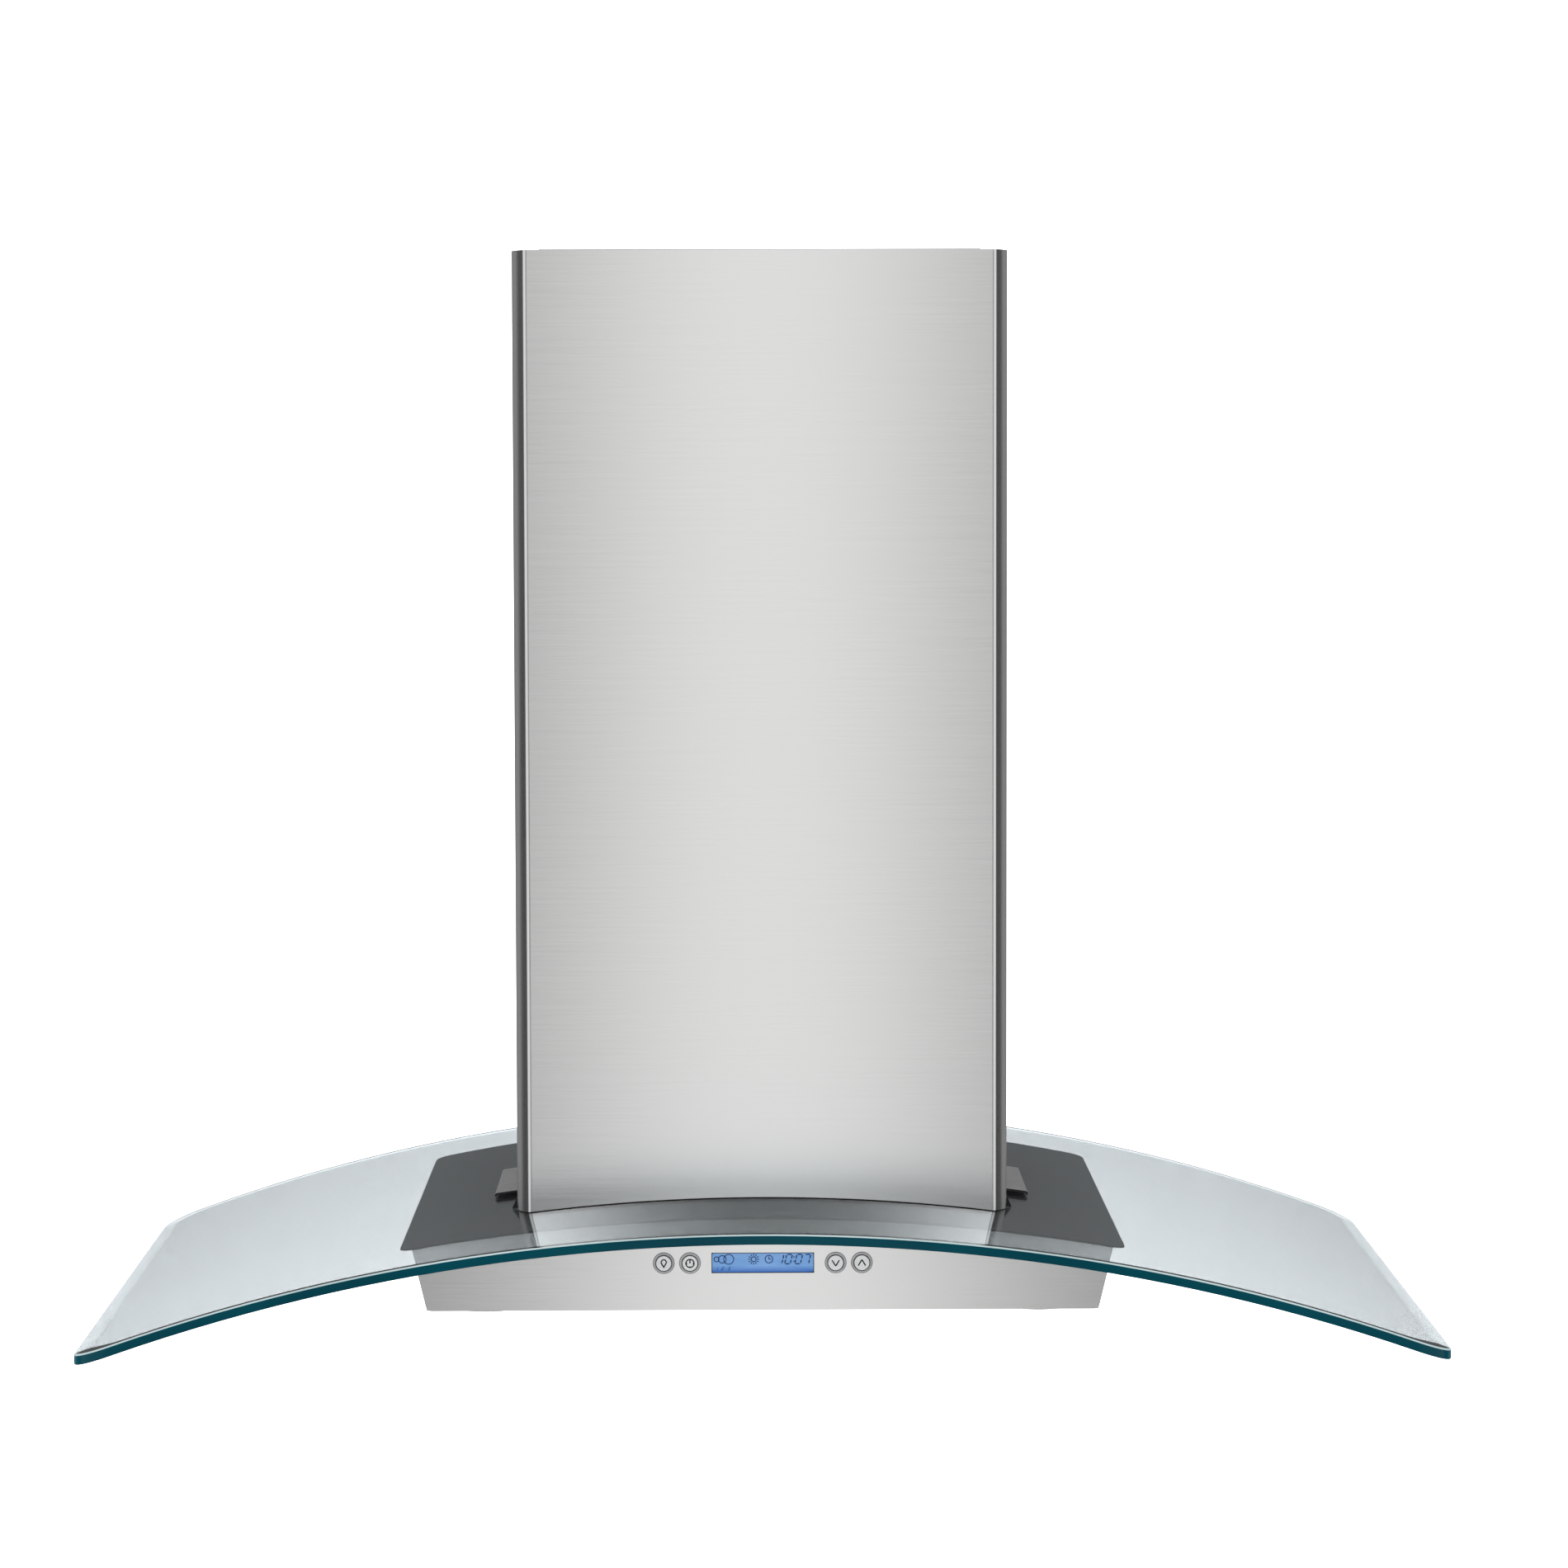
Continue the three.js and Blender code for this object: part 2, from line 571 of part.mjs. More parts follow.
// A wedge outside the chimney's side, just behind the cheek: wide on the glass, nothing at its top
function sealWedge(end, y, floor) {
  const face = CHIMNEY_WIDTH / 2 + GAP;
  const profile = new THREE.Shape();
  profile.moveTo(face, floor);
  profile.lineTo(face + SEAL_WEDGE, floor);
  profile.lineTo(face + SEAL_WEDGE, archHeight(face + SEAL_WEDGE, GAP) + CUT);
  profile.lineTo(face, archHeight(face, GAP) + SEAL_HEIGHT);
  const [y0, y1] = end < 0 ? [-y, -y + SEAL_WIDTH] : [y - SEAL_WIDTH, y];
  return lengthways(profile, y0, y1);
}

// What joins a wedge to the strip, under the chimney's bottom edge
function sealTie(end, y, floor) {
  const x0 = CHIMNEY_WIDTH / 2 - SHEET - 2 * SEAL_WIDTH;
  const x1 = CHIMNEY_WIDTH / 2 + SEAL_WEDGE;
  const [y0, y1] = end < 0 ? [-y, -y + SEAL_WIDTH] : [y - SEAL_WIDTH, y];
  const top = underArch(CHIMNEY_SEAT - GAP / 2, 2 * x1, y0, y1, floor - CUT);
  return top.intersect(block(x0, x1, y0, y1, floor - CUT, GLASS_RADIUS));
}

// ---------------------------------------------------------------- body

// Half the body's outer width at height z
const bodySide = (z) => BODY_WIDTH / 2 + (z + BODY_DROP) * BODY_FLARE;

// The body's cross-section, moved inwards by inset, from its bottom up to the crown
function bodySection(inset) {
  const section = new THREE.Shape();
  section.moveTo(-bodySide(-BODY_DROP) + inset, -BODY_DROP);
  section.lineTo(bodySide(-BODY_DROP) - inset, -BODY_DROP);
  section.lineTo(bodySide(0) - inset, 0);
  section.lineTo(-bodySide(0) + inset, 0);
  return section;
}

// The front and rear panels' outline: the cross-section with its two bottom corners rounded
function panelSection() {
  const foot = bodySide(-BODY_DROP);
  const bendHeight = PANEL_CORNER - BODY_DROP;
  const section = new THREE.Shape();
  section.moveTo(-foot + PANEL_CORNER, -BODY_DROP);
  section.lineTo(foot - PANEL_CORNER, -BODY_DROP);
  section.quadraticCurveTo(foot, -BODY_DROP, bodySide(bendHeight), bendHeight);
  section.lineTo(bodySide(0), 0);
  section.lineTo(-bodySide(0), 0);
  section.lineTo(-bodySide(bendHeight), bendHeight);
  section.quadraticCurveTo(-foot, -BODY_DROP, -foot + PANEL_CORNER, -BODY_DROP);
  return section;
}

// What lies under the canopy's top plate, with a gap
const underPlate = (y0, y1) =>
  underArch(PLATE_UNDER - GAP, PLATE_WIDTH, y0 - CUT, y1 + CUT, -BODY_DROP - CUT);

function buildPanels() {
  const blank = lengthways(panelSection(), FRONT, PANEL_BACK).intersect(underPlate(FRONT, PANEL_BACK));
  const controls = union([
    block(
      -LCD_WIDTH / 2 - GAP,
      LCD_WIDTH / 2 + GAP,
      FRONT - CUT,
      PANEL_BACK + CUT,
      -CONTROL_DROP - LCD_HEIGHT / 2 - GAP,
      -CONTROL_DROP + LCD_HEIGHT / 2 + GAP,
    ),
    ...[-BUTTON_OUTER_X, -BUTTON_INNER_X, BUTTON_INNER_X, BUTTON_OUTER_X].map((x) =>
      plug(BEZEL_OUTER + GAP, FRONT - CUT, PANEL_BACK + CUT, { x, z: -CONTROL_DROP }),
    ),
  ]);
  add(hood, "control_panel", blank.subtract(controls), brushedSteel);
  add(hood, "rear_panel", blank.mirror([0, 1, 0]), brushedSteel);

  const y = -PANEL_BACK - GAP;
  const walls = lengthways(bodySection(0), -y, y)
    .subtract(lengthways(bodySection(SHEET), -y - CUT, y + CUT))
    .intersect(underPlate(-y, y));
  for (const [name, side] of SIDES) {
    const x = side * BODY_WIDTH;
    const reach = block(Math.min(0, x), Math.max(0, x), -y, y, -BODY_DROP, 0);
    add(hood, `side_panel_${name}`, walls.intersect(reach), brushedSteel);
  }
}

function buildBottomPan() {
  const x = BODY_WIDTH / 2 - SHEET - GAP;
  const y = -PANEL_BACK - GAP;
  const openX = FILTER_OPENING_WIDTH / 2;
  const openY = FILTER_OPENING_DEPTH / 2;
  const rimTop = -BODY_DROP + FILTER_RIM;
  const plate = block(-x, x, -y, y, -BODY_DROP, PAN_TOP);
  const rim = block(-openX - SHEET, openX + SHEET, -openY - SHEET, openY + SHEET, -BODY_DROP, rimTop);
  const bays = SIDES.map(([, side]) => {
    const centre = side * FILTER_X;
    const half = FILTER_WIDTH / 2 + FILTER_CLEARANCE;
    return block(centre - half, centre + half, -openY, openY, -BODY_DROP - CUT, rimTop + CUT);
  });
  const lampHoles = SIDES.flatMap(([, side]) =>
    ENDS.map(([, end]) =>
      disc(LAMP_RADIUS + GAP, -BODY_DROP - CUT, PAN_TOP + CUT, { x: side * LAMP_X, y: end * LAMP_Y }),
    ),
  );
  add(hood, "bottom_pan", plate.add(rim).subtract(union([...bays, ...lampHoles])), brushedSteel);
}

// ---------------------------------------------------------------- controls

function buildLcd() {
  const x = LCD_WIDTH / 2;
  const z = LCD_HEIGHT / 2;
  const y0 = FRONT + LCD_RECESS;
  const y1 = y0 + LCD_THICKNESS;
  const lens = add(hood, "lcd_window", block(-x, x, y0, y1, -z, z), lcdBlue);
  const border = LCD_MODULE_BORDER;
  const back = Math.min(y1 + GAP + LCD_MODULE_THICKNESS, BOARD_FRONT - GAP);
  const shell = block(-x - border, x + border, y1 + GAP, back, -z - border, z + border);
  const module = add(hood, "lcd_module", shell, blackPlastic);
  lens.position.z = -CONTROL_DROP;
  module.position.z = -CONTROL_DROP;
}

function buildBoard() {
  const x = BOARD_WIDTH / 2;
  const z = BOARD_HEIGHT / 2;
  const board = add(
    hood,
    "control_board",
    block(-x, x, BOARD_FRONT, BOARD_FRONT + BOARD_THICKNESS, -z, z),
    circuitGreen,
  );
  board.position.z = -CONTROL_DROP;
}

// Two rings on one plate behind the panel
function buildBezels() {
  const middle = (BUTTON_INNER_X + BUTTON_OUTER_X) / 2;
  const half = (BUTTON_OUTER_X - BUTTON_INNER_X) / 2;
  const x = half + BEZEL_OUTER + BEZEL_BORDER;
  const z = BEZEL_OUTER + BEZEL_BORDER;
  const plateFront = PANEL_BACK + GAP;
  let bezel = block(-x, x, plateFront, BEZEL_BACK, -z, z);
  for (const offset of [-half, half]) {
    bezel = bezel.add(plug(BEZEL_OUTER, FRONT - BEZEL_PROUD, BEZEL_BACK, { x: offset }));
    bezel = bezel.subtract(plug(BEZEL_INNER, FRONT - BEZEL_PROUD - CUT, BEZEL_BACK + CUT, { x: offset }));
  }
  for (const [name, side] of SIDES) {
    add(hood, `button_bezel_${name}`, bezel, aluminium).position.set(side * middle, 0, -CONTROL_DROP);
  }
}

function buildButtons() {
  const cap = plug(BUTTON_RADIUS, FRONT - BUTTON_PROUD, BUTTON_BACK).add(
    plug(BUTTON_RADIUS + BUTTON_FLANGE, BEZEL_BACK + GAP, BUTTON_BACK),
  );
  const places = {
    light_button: -BUTTON_OUTER_X,
    power_button: -BUTTON_INNER_X,
    down_button: BUTTON_INNER_X,
    up_button: BUTTON_OUTER_X,
  };
  for (const [name, x] of Object.entries(places)) {
    add(hood, name, cap, aluminium).position.set(x, 0, -CONTROL_DROP);
  }
}

// ---------------------------------------------------------------- lamps

// A can with a rim below the pan, made about the pan's underside
function buildLamps() {
  const rimTop = -GAP;
  const rimUnder = rimTop - LAMP_RIM_THICKNESS;
  const can = disc(LAMP_RADIUS, rimUnder, LAMP_DEPTH)
    .add(disc(LAMP_RADIUS + LAMP_RIM, rimUnder, rimTop))
    .subtract(disc(LAMP_RADIUS - LAMP_WALL, LENS_THICKNESS, LAMP_DEPTH - LAMP_WALL))
    .subtract(disc(LENS_RADIUS + GAP, rimUnder - CUT, LENS_THICKNESS + CUT));
  const lens = disc(LENS_RADIUS, rimUnder + GAP, rimUnder + GAP + LENS_THICKNESS);
  for (const [endName, end] of ENDS) {
    for (const [sideName, side] of SIDES) {
      const at = new THREE.Vector3(side * LAMP_X, end * LAMP_Y, -BODY_DROP);
      add(hood, `lamp_can_${endName}_${sideName}`, can, aluminium).position.copy(at);
      add(hood, `lamp_lens_${endName}_${sideName}`, lens, lampGlass).position.copy(at);
    }
  }
}

// ---------------------------------------------------------------- filters

// Made about the middle of the filter's underside
function buildFilters() {
  const x = FILTER_WIDTH / 2;
  const y = FILTER_DEPTH / 2;
  const inX = x - FILTER_BORDER;
  const inY = y - FILTER_BORDER;
  const lip = FILTER_SHEET;
  const slotX = LATCH_STEM / 2 + GAP;
  const slotY = -y + FILTER_BORDER / 2;
  const slotHalf = (LATCH_STEM + LATCH_TRAVEL) / 2 + GAP;
  const frame = block(-x, x, -y, y, 0, FILTER_THICKNESS)
    .subtract(block(-x + lip, x - lip, -y + lip, y - lip, lip, FILTER_THICKNESS - lip))
    .subtract(block(-inX, inX, -inY, inY, -CUT, FILTER_THICKNESS + CUT))
    .subtract(block(-slotX, slotX, slotY - slotHalf, slotY + slotHalf, -CUT, 2 * lip));
  const meshX = x - lip - GAP;
  const meshFront = slotY + slotHalf + LATCH_DEPTH / 2;
  const meshBack = y - lip - GAP;
  const layers = block(-meshX, meshX, meshFront, meshBack, lip + GAP, lip + GAP + FILTER_PACK);
  const rest = slotY - LATCH_TRAVEL / 2;
  const tab = union([
    block(-LATCH_WIDTH / 2, LATCH_WIDTH / 2, -LATCH_DEPTH / 2, LATCH_DEPTH / 2, -GAP - LATCH_THICKNESS, -GAP),
    block(-LATCH_STEM / 2, LATCH_STEM / 2, -LATCH_STEM / 2, LATCH_STEM / 2, -2 * GAP, FILTER_THICKNESS / 2),
  ]);
  const base = -BODY_DROP + GAP;
  for (const [name, side] of SIDES) {
    const at = new THREE.Vector3(side * FILTER_X, 0, base);
    add(hood, `filter_frame_${name}`, frame, aluminium).position.copy(at);
    add(hood, `filter_mesh_${name}`, layers, aluminium).position.copy(at);
    add(hood, `filter_latch_${name}`, tab, blackPlastic).position.set(at.x, rest, at.z);
  }
}

// ---------------------------------------------------------------- blower

// The scroll's side view: a spiral that widens from the tongue, and a sloping outlet up to top
function scrollProfile(inset, top) {
  const steps = 36;
  const points = [];
  for (let i = 0; i <= steps; i++) {
    const turn = TONGUE_ANGLE + (i / steps) * (2 * Math.PI - TONGUE_ANGLE);
    const radius = SCROLL_START + (i / steps) * (SCROLL_END - SCROLL_START) - inset;
    points.push(new THREE.Vector2(AXLE_Y + radius * Math.cos(turn), AXLE_Z + radius * Math.sin(turn)));
  }
  points.push(new THREE.Vector2(OUTLET_BACK - inset, top));
  points.push(new THREE.Vector2(OUTLET_FRONT + inset, top));
  return new THREE.Shape(points);
}

function buildScroll() {
  const x = SCROLL_WIDTH / 2;
  const top = BOX_TOP_UNDER - GAP;
  const hub = { y: AXLE_Y, z: AXLE_Z };
  const shell = sideways(scrollProfile(0, top), -x, x)
    .subtract(sideways(scrollProfile(SCROLL_WALL, top + CUT), -x + SCROLL_WALL, x - SCROLL_WALL))
    .subtract(axle(INLET_RADIUS, -x - CUT, x + CUT, hub));
  for (const [name, side] of SIDES) {
    const [x0, x1] = side < 0 ? [-x - CUT, -GAP / 2] : [GAP / 2, x + CUT];
    const half = shell.intersect(block(x0, x1, -BOX_DEPTH, BOX_DEPTH, -BOX_RISE, 2 * BOX_RISE));
    add(hood, `blower_scroll_${name}`, half, blackPlastic);
  }
}

function buildBlowerBox() {
  const x = BOX_WIDTH / 2;
  const y = BOX_DEPTH / 2;
  const outletX = SCROLL_WIDTH / 2 - SCROLL_WALL;
  const box = block(-x, x, -y, y, -BOX_DROP, BOX_RISE)
    .subtract(block(-x + SHEET, x - SHEET, -y + SHEET, y - SHEET, -BOX_DROP - CUT, BOX_TOP_UNDER))
    .subtract(
      block(
        -outletX,
        outletX,
        OUTLET_FRONT + SCROLL_WALL,
        OUTLET_BACK - SCROLL_WALL,
        BOX_TOP_UNDER - CUT,
        BOX_RISE + CUT,
      ),
    );
  add(hood, "blower_box", box, galvanised);
}

// The wheel turns about the axle: a disc in the middle, a ring at each end, and blades between them
function buildImpeller() {
  const x = WHEEL_WIDTH / 2;
  const bladeMiddle = WHEEL_RADIUS - BLADE_DEPTH / 2;
  const inner = WHEEL_RADIUS - BLADE_DEPTH;
  const pieces = [
    axle(WHEEL_RADIUS - BLADE_THICKNESS, -WHEEL_RING / 2, WHEEL_RING / 2),
    axle(HUB_RADIUS, -HUB_LENGTH / 2, HUB_LENGTH / 2),
  ];
  for (const [, side] of SIDES) {
    const edge = side * (x - WHEEL_RING / 2);
    const [x0, x1] = [edge - WHEEL_RING / 2, edge + WHEEL_RING / 2];
    pieces.push(axle(WHEEL_RADIUS, x0, x1).subtract(axle(inner, x0 - CUT, x1 + CUT)));
  }
  for (let i = 0; i < BLADE_COUNT; i++) {
    const blade = new THREE.BoxGeometry(WHEEL_WIDTH - WHEEL_RING, BLADE_THICKNESS, BLADE_DEPTH - 2 * GAP);
    blade.rotateX(0.5).translate(0, 0, bladeMiddle);
    pieces.push(solidOf(blade.rotateX((i / BLADE_COUNT) * 2 * Math.PI)));
  }
  const bore = axle(SHAFT_RADIUS + GAP, -HUB_LENGTH, HUB_LENGTH, { sides: 20 });
  const wheel = add(hood, "impeller", union(pieces).subtract(bore), blackPlastic);
  wheel.position.set(0, AXLE_Y, AXLE_Z);
}

function buildMotor() {
  const front = -HUB_LENGTH / 2 - MOTOR_TO_HUB;
  const back = front - MOTOR_LENGTH;
  const shaft = axle(SHAFT_RADIUS, front - CUT, HUB_LENGTH / 2, { sides: 20 });
  const body = axle(MOTOR_RADIUS, back, front).add(shaft);
  add(hood, "blower_motor", body, galvanised).position.set(0, AXLE_Y, AXLE_Z);

  const outside = -SCROLL_WIDTH / 2 - GAP;
  const reach = INLET_RADIUS + SPIDER_WIDTH / 2;
  const ring = axle(MOTOR_RADIUS + SPIDER_WIDTH / 2, outside - SPIDER_THICKNESS, outside);
  const arms = [0, 1, 2].map((i) => {
    const arm = new THREE.BoxGeometry(SPIDER_THICKNESS, SPIDER_WIDTH, reach);
    arm.translate(outside - SPIDER_THICKNESS / 2, 0, reach / 2);
    return solidOf(arm.rotateX((i / 3) * 2 * Math.PI));
  });
  const spider = union([ring, ...arms]).subtract(
    axle(MOTOR_RADIUS + GAP, outside - SPIDER_THICKNESS - CUT, outside + CUT),
  );
  add(hood, "motor_bracket", spider, galvanised).position.set(0, AXLE_Y, AXLE_Z);
}

function buildCapacitor() {
  const x = SCROLL_WIDTH / 2 + GAP + CAPACITOR_RADIUS;
  const y = BOX_DEPTH / 2 - SHEET - GAP - CAPACITOR_RADIUS;
  const z = BOX_RISE / 2;
  const can = disc(CAPACITOR_RADIUS, z, z + CAPACITOR_LENGTH, { x, y, sides: 20 });
  add(hood, "motor_capacitor", can, aluminium);
}

// ---------------------------------------------------------------- duct collar, flaps, junction box

function buildCollar() {
  const flange = COLLAR_RADIUS + COLLAR_FLANGE;
  const top = COLLAR_BASE + COLLAR_RISE;
  const barZ = COLLAR_BASE + FLAP_RISE;
  const barHalf = DAMPER_BAR / 2;
  const reach = COLLAR_RADIUS - SHEET / 2;
  const sides = { sides: 48 };
  const collar = disc(flange, COLLAR_BASE, COLLAR_BASE + SHEET, sides)
    .add(disc(COLLAR_RADIUS, COLLAR_BASE, top, sides))
    .subtract(disc(COLLAR_RADIUS - SHEET, COLLAR_BASE - CUT, top + CUT, sides))
    .add(block(-barHalf, barHalf, -reach, reach, barZ - barHalf, barZ + barHalf));
  add(hood, "duct_collar", collar, galvanised);
}

// A half-disc on a barrel that lies beside the damper bar, made about the barrel's axis
function buildFlaps() {
  const pivot = DAMPER_BAR / 2 + FLAP_BARREL + GAP;
  const radius = COLLAR_RADIUS - SHEET - FLAP_CLEARANCE;
  const half = FLAP_THICKNESS / 2;
  const barrelHalf = radius - 2 * FLAP_BARREL;
  const leaf = disc(radius, -half, half, { sides: 48, x: -pivot }).intersect(
    block(0, radius, -radius, radius, -half, half),
  );
  const flap = leaf.add(plug(FLAP_BARREL, -barrelHalf, barrelHalf, { sides: 12 }));
  for (const [name, side] of SIDES) {
    const mesh = add(hood, `damper_flap_${name}`, side > 0 ? flap : flap.mirror([1, 0, 0]), aluminium);
    mesh.position.set(side * pivot, 0, COLLAR_BASE + FLAP_RISE);
  }
}

function buildJunctionBox() {
  const x0 = BOX_WIDTH / 2 + GAP;
  const x1 = x0 + JUNCTION_WIDTH;
  const y = JUNCTION_DEPTH / 2;
  const z0 = JUNCTION_BASE;
  const z1 = z0 + JUNCTION_HEIGHT;
  const box = block(x0, x1, -y, y, z0, z1).subtract(
    block(x0 + SHEET, x1 + CUT, -y + SHEET, y - SHEET, z0 + SHEET, z1 - SHEET),
  );
  add(hood, "junction_box", box, galvanised);
  add(hood, "junction_box_cover", block(x1 + GAP, x1 + GAP + SHEET, -y, y, z0, z1), galvanised);
}

// ---------------------------------------------------------------- all together

buildCeilingBracket();
buildUpperPosts();
buildUpperChimney();
buildLowerPosts();
buildLowerChimney();
buildGlass();
buildCanopyTop();
buildGasket();
buildGlassClamps();
buildBaseSeals();
buildPanels();
buildBottomPan();
buildLcd();
buildBoard();
buildBezels();
buildButtons();
buildLamps();
buildFilters();
buildScroll();
buildBlowerBox();
buildImpeller();
buildMotor();
buildCapacitor();
buildCollar();
buildFlaps();
buildJunctionBox();

export default part;
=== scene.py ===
"""Island range hood: brushed stainless chimney over a curved glass canopy, with a slim body under the glass.

Metres, +X to the right, +Y to the rear, +Z up; the origin is on the ceiling, in the middle of the hood.
"""

import math

import bmesh
import bpy
import numpy as np
from mathutils import Matrix, Vector


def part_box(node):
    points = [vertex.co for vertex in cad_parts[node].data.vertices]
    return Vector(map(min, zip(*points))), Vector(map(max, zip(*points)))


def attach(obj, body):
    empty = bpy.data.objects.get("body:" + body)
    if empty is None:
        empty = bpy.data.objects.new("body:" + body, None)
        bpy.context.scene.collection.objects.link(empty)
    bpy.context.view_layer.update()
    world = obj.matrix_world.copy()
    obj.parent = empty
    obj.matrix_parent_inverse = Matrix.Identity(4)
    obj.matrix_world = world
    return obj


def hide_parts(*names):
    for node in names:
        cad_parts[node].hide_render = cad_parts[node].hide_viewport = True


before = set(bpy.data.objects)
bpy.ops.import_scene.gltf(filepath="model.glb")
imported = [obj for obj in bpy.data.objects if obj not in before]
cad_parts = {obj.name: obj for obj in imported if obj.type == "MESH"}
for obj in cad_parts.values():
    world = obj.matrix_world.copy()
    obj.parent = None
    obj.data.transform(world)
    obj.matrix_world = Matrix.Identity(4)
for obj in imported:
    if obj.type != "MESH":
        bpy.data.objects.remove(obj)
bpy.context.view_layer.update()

# ---------------------------------------------------------------- places and sizes

MM = 0.001

glass_low, glass_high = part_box("glass_canopy")
CROWN = glass_high.z  # the highest point of the glass
GLASS_WIDTH = glass_high.x - glass_low.x
GLASS_DEPTH = glass_high.y - glass_low.y
GLASS_RADIUS = 1498 * MM  # of the bend's top surface
GLASS_THICKNESS = 8 * MM
GLASS_BOW = 17 * MM
GLASS_CORNER = 34 * MM
ARRIS = 1.1 * MM  # the glass's ground edge

cover_low, cover_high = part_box("lower_chimney_front")
CHIMNEY_WIDTH = cover_high.x - cover_low.x
CHIMNEY_DEPTH = -2 * cover_low.y
CHIMNEY_TOP = cover_high.z
FACE_WIDTH = 372 * MM
CHEEK_DEPTH = 33 * MM
CHIMNEY_SEAT = 0.6 * MM
FOLD = 1.7 * MM  # size of the bend between the chimney's face and its cheek
SHEET = 1.2 * MM
SEAM = 0.3 * MM

clamp_low, clamp_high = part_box("glass_clamp_right")
CLAMP_LIFT = 2.4 * MM
CLAMP_SHEET = 1.6 * MM
CLAMP_ROOM = 0.3 * MM

plate_low, plate_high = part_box("canopy_top")
PLATE_OFFSET = -GLASS_THICKNESS - 0.3 * MM
PLATE_SHEET = 1.5 * MM
PLATE_BOW = 15 * MM
PLATE_CORNER = 15 * MM
NECK_WIDTH = 312 * MM
NECK_DEPTH = 282 * MM
NECK_SHEET = 2 * MM
CUTOUT_GROWTH = 8.6 * MM  # from the neck to the glass's cut-out
CUTOUT_CORNER = 15 * MM

PANEL_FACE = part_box("control_panel")[0].y


def arch(x, offset=0.0):
    """Height of the glass's bend at x: a circle about a line from front to back, offset outwards."""
    return CROWN + np.sqrt((GLASS_RADIUS + offset) ** 2 - np.asarray(x) ** 2) - GLASS_RADIUS


# ---------------------------------------------------------------- meshes


def skin(points, wrap_rows=False, wrap_columns=False):
    """Quads between neighbours of a grid of points; a wrapped direction joins its last line to its first."""
    rows, columns = points.shape[:2]
    r = np.arange(rows if wrap_rows else rows - 1)
    c = np.arange(columns if wrap_columns else columns - 1)
    r, c = (a.ravel() for a in np.meshgrid(r, c, indexing="ij"))
    r_next, c_next = (r + 1) % rows, (c + 1) % columns
    corners = (r * columns + c, r * columns + c_next, r_next * columns + c_next, r_next * columns + c)
    return points.reshape(-1, 3), np.stack(corners, axis=-1)


def joined(*surfaces):
    """Several (points, quads) surfaces as one."""
    starts = np.cumsum([0] + [len(points) for points, _ in surfaces])
    quads = [q + start for (_, q), start in zip(surfaces, starts)]
    return np.concatenate([points for points, _ in surfaces]), np.concatenate(quads)


def shell(outer, inner):
    """A closed sheet between two grids of the same shape: both faces, and a strip along each edge."""
    strips = [
        skin(np.stack([outer[0], inner[0]])),
        skin(np.stack([outer[-1], inner[-1]])),
        skin(np.stack([outer[:, 0], inner[:, 0]])),
        skin(np.stack([outer[:, -1], inner[:, -1]])),
    ]
    return joined(skin(outer), skin(inner), *strips)


def sweep(sections, closed=False):
    """A bar through four-cornered sections, (n, 4, 3): its sides, and end caps unless it is a ring."""
    sides = skin(sections, wrap_rows=closed, wrap_columns=True)
    if closed:
        return sides
    caps = [skin(end[[0, 1, 3, 2]].reshape(2, 2, 3)) for end in (sections[0], sections[-1])]
    return joined(sides, *caps)


def lathe(profile, centre, axis, segments=48):
    """A (radius, distance along axis) profile turned about centre: radius times cos and sin of angle."""
    turn = np.linspace(0, 2 * np.pi, segments, endpoint=False)
    radius, along = np.asarray(profile, float).T[:, :, None]
    round_a, round_b = radius * np.cos(turn), radius * np.sin(turn)
    along = np.broadcast_to(along, round_a.shape)
    order = {"Y": (round_a, along, round_b), "Z": (round_a, round_b, along)}[axis]
    points = np.stack(order, axis=-1) + np.asarray(centre, float)
    return skin(points, wrap_columns=True)


def piece(name, surfaces, body, stands_for=(), crease=32, across="Z"):
    """One closed mesh from (points, quads, material) surfaces, which rides on body.

    across is the direction square to the brushing; the Grain map's U runs along it.
    """
    mesh = bpy.data.meshes.new(name)
    points, quads = joined(*[(p, q) for p, q, _ in surfaces])
    mesh.from_pydata(points.tolist(), [], quads.tolist())
    finishes = list(dict.fromkeys(m for _, _, m in surfaces))
    for finish in finishes:
        mesh.materials.append(finish)
    index = [np.full(len(q), finishes.index(m), np.int32) for _, q, m in surfaces]
    mesh.polygons.foreach_set("material_index", np.concatenate(index))
    work = bmesh.new()
    work.from_mesh(mesh)
    bmesh.ops.remove_doubles(work, verts=work.verts, dist=1e-6)
    bmesh.ops.dissolve_degenerate(work, edges=work.edges, dist=1e-7)
    bmesh.ops.recalc_face_normals(work, faces=work.faces)
    work.to_mesh(mesh)
    work.free()
    mesh.polygons.foreach_set("use_smooth", np.ones(len(mesh.polygons), bool))
    mesh.set_sharp_from_angle(angle=math.radians(crease))
    add_grain(mesh, across)
    obj = bpy.data.objects.new(name, mesh)
    bpy.context.scene.collection.objects.link(obj)
    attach(obj, body)
    if stands_for:
        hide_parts(*stands_for)
    return obj


def add_grain(mesh, across):
    """The Grain map: U is the height, or y, and V the angle about the hood's middle, or x."""
    co = np.empty(len(mesh.vertices) * 3, np.float32)
    mesh.vertices.foreach_get("co", co)
    x, y, z = co.reshape(-1, 3).T
    u, v = (z, np.arctan2(x, -y)) if across == "Z" else (y, x)
    loops = np.empty(len(mesh.loops), np.int32)
    mesh.loops.foreach_get("vertex_index", loops)
    layer = mesh.uv_layers.new(name="Grain")
    layer.data.foreach_set("uv", np.stack([u[loops], v[loops]], axis=-1).ravel())


# ---------------------------------------------------------------- materials


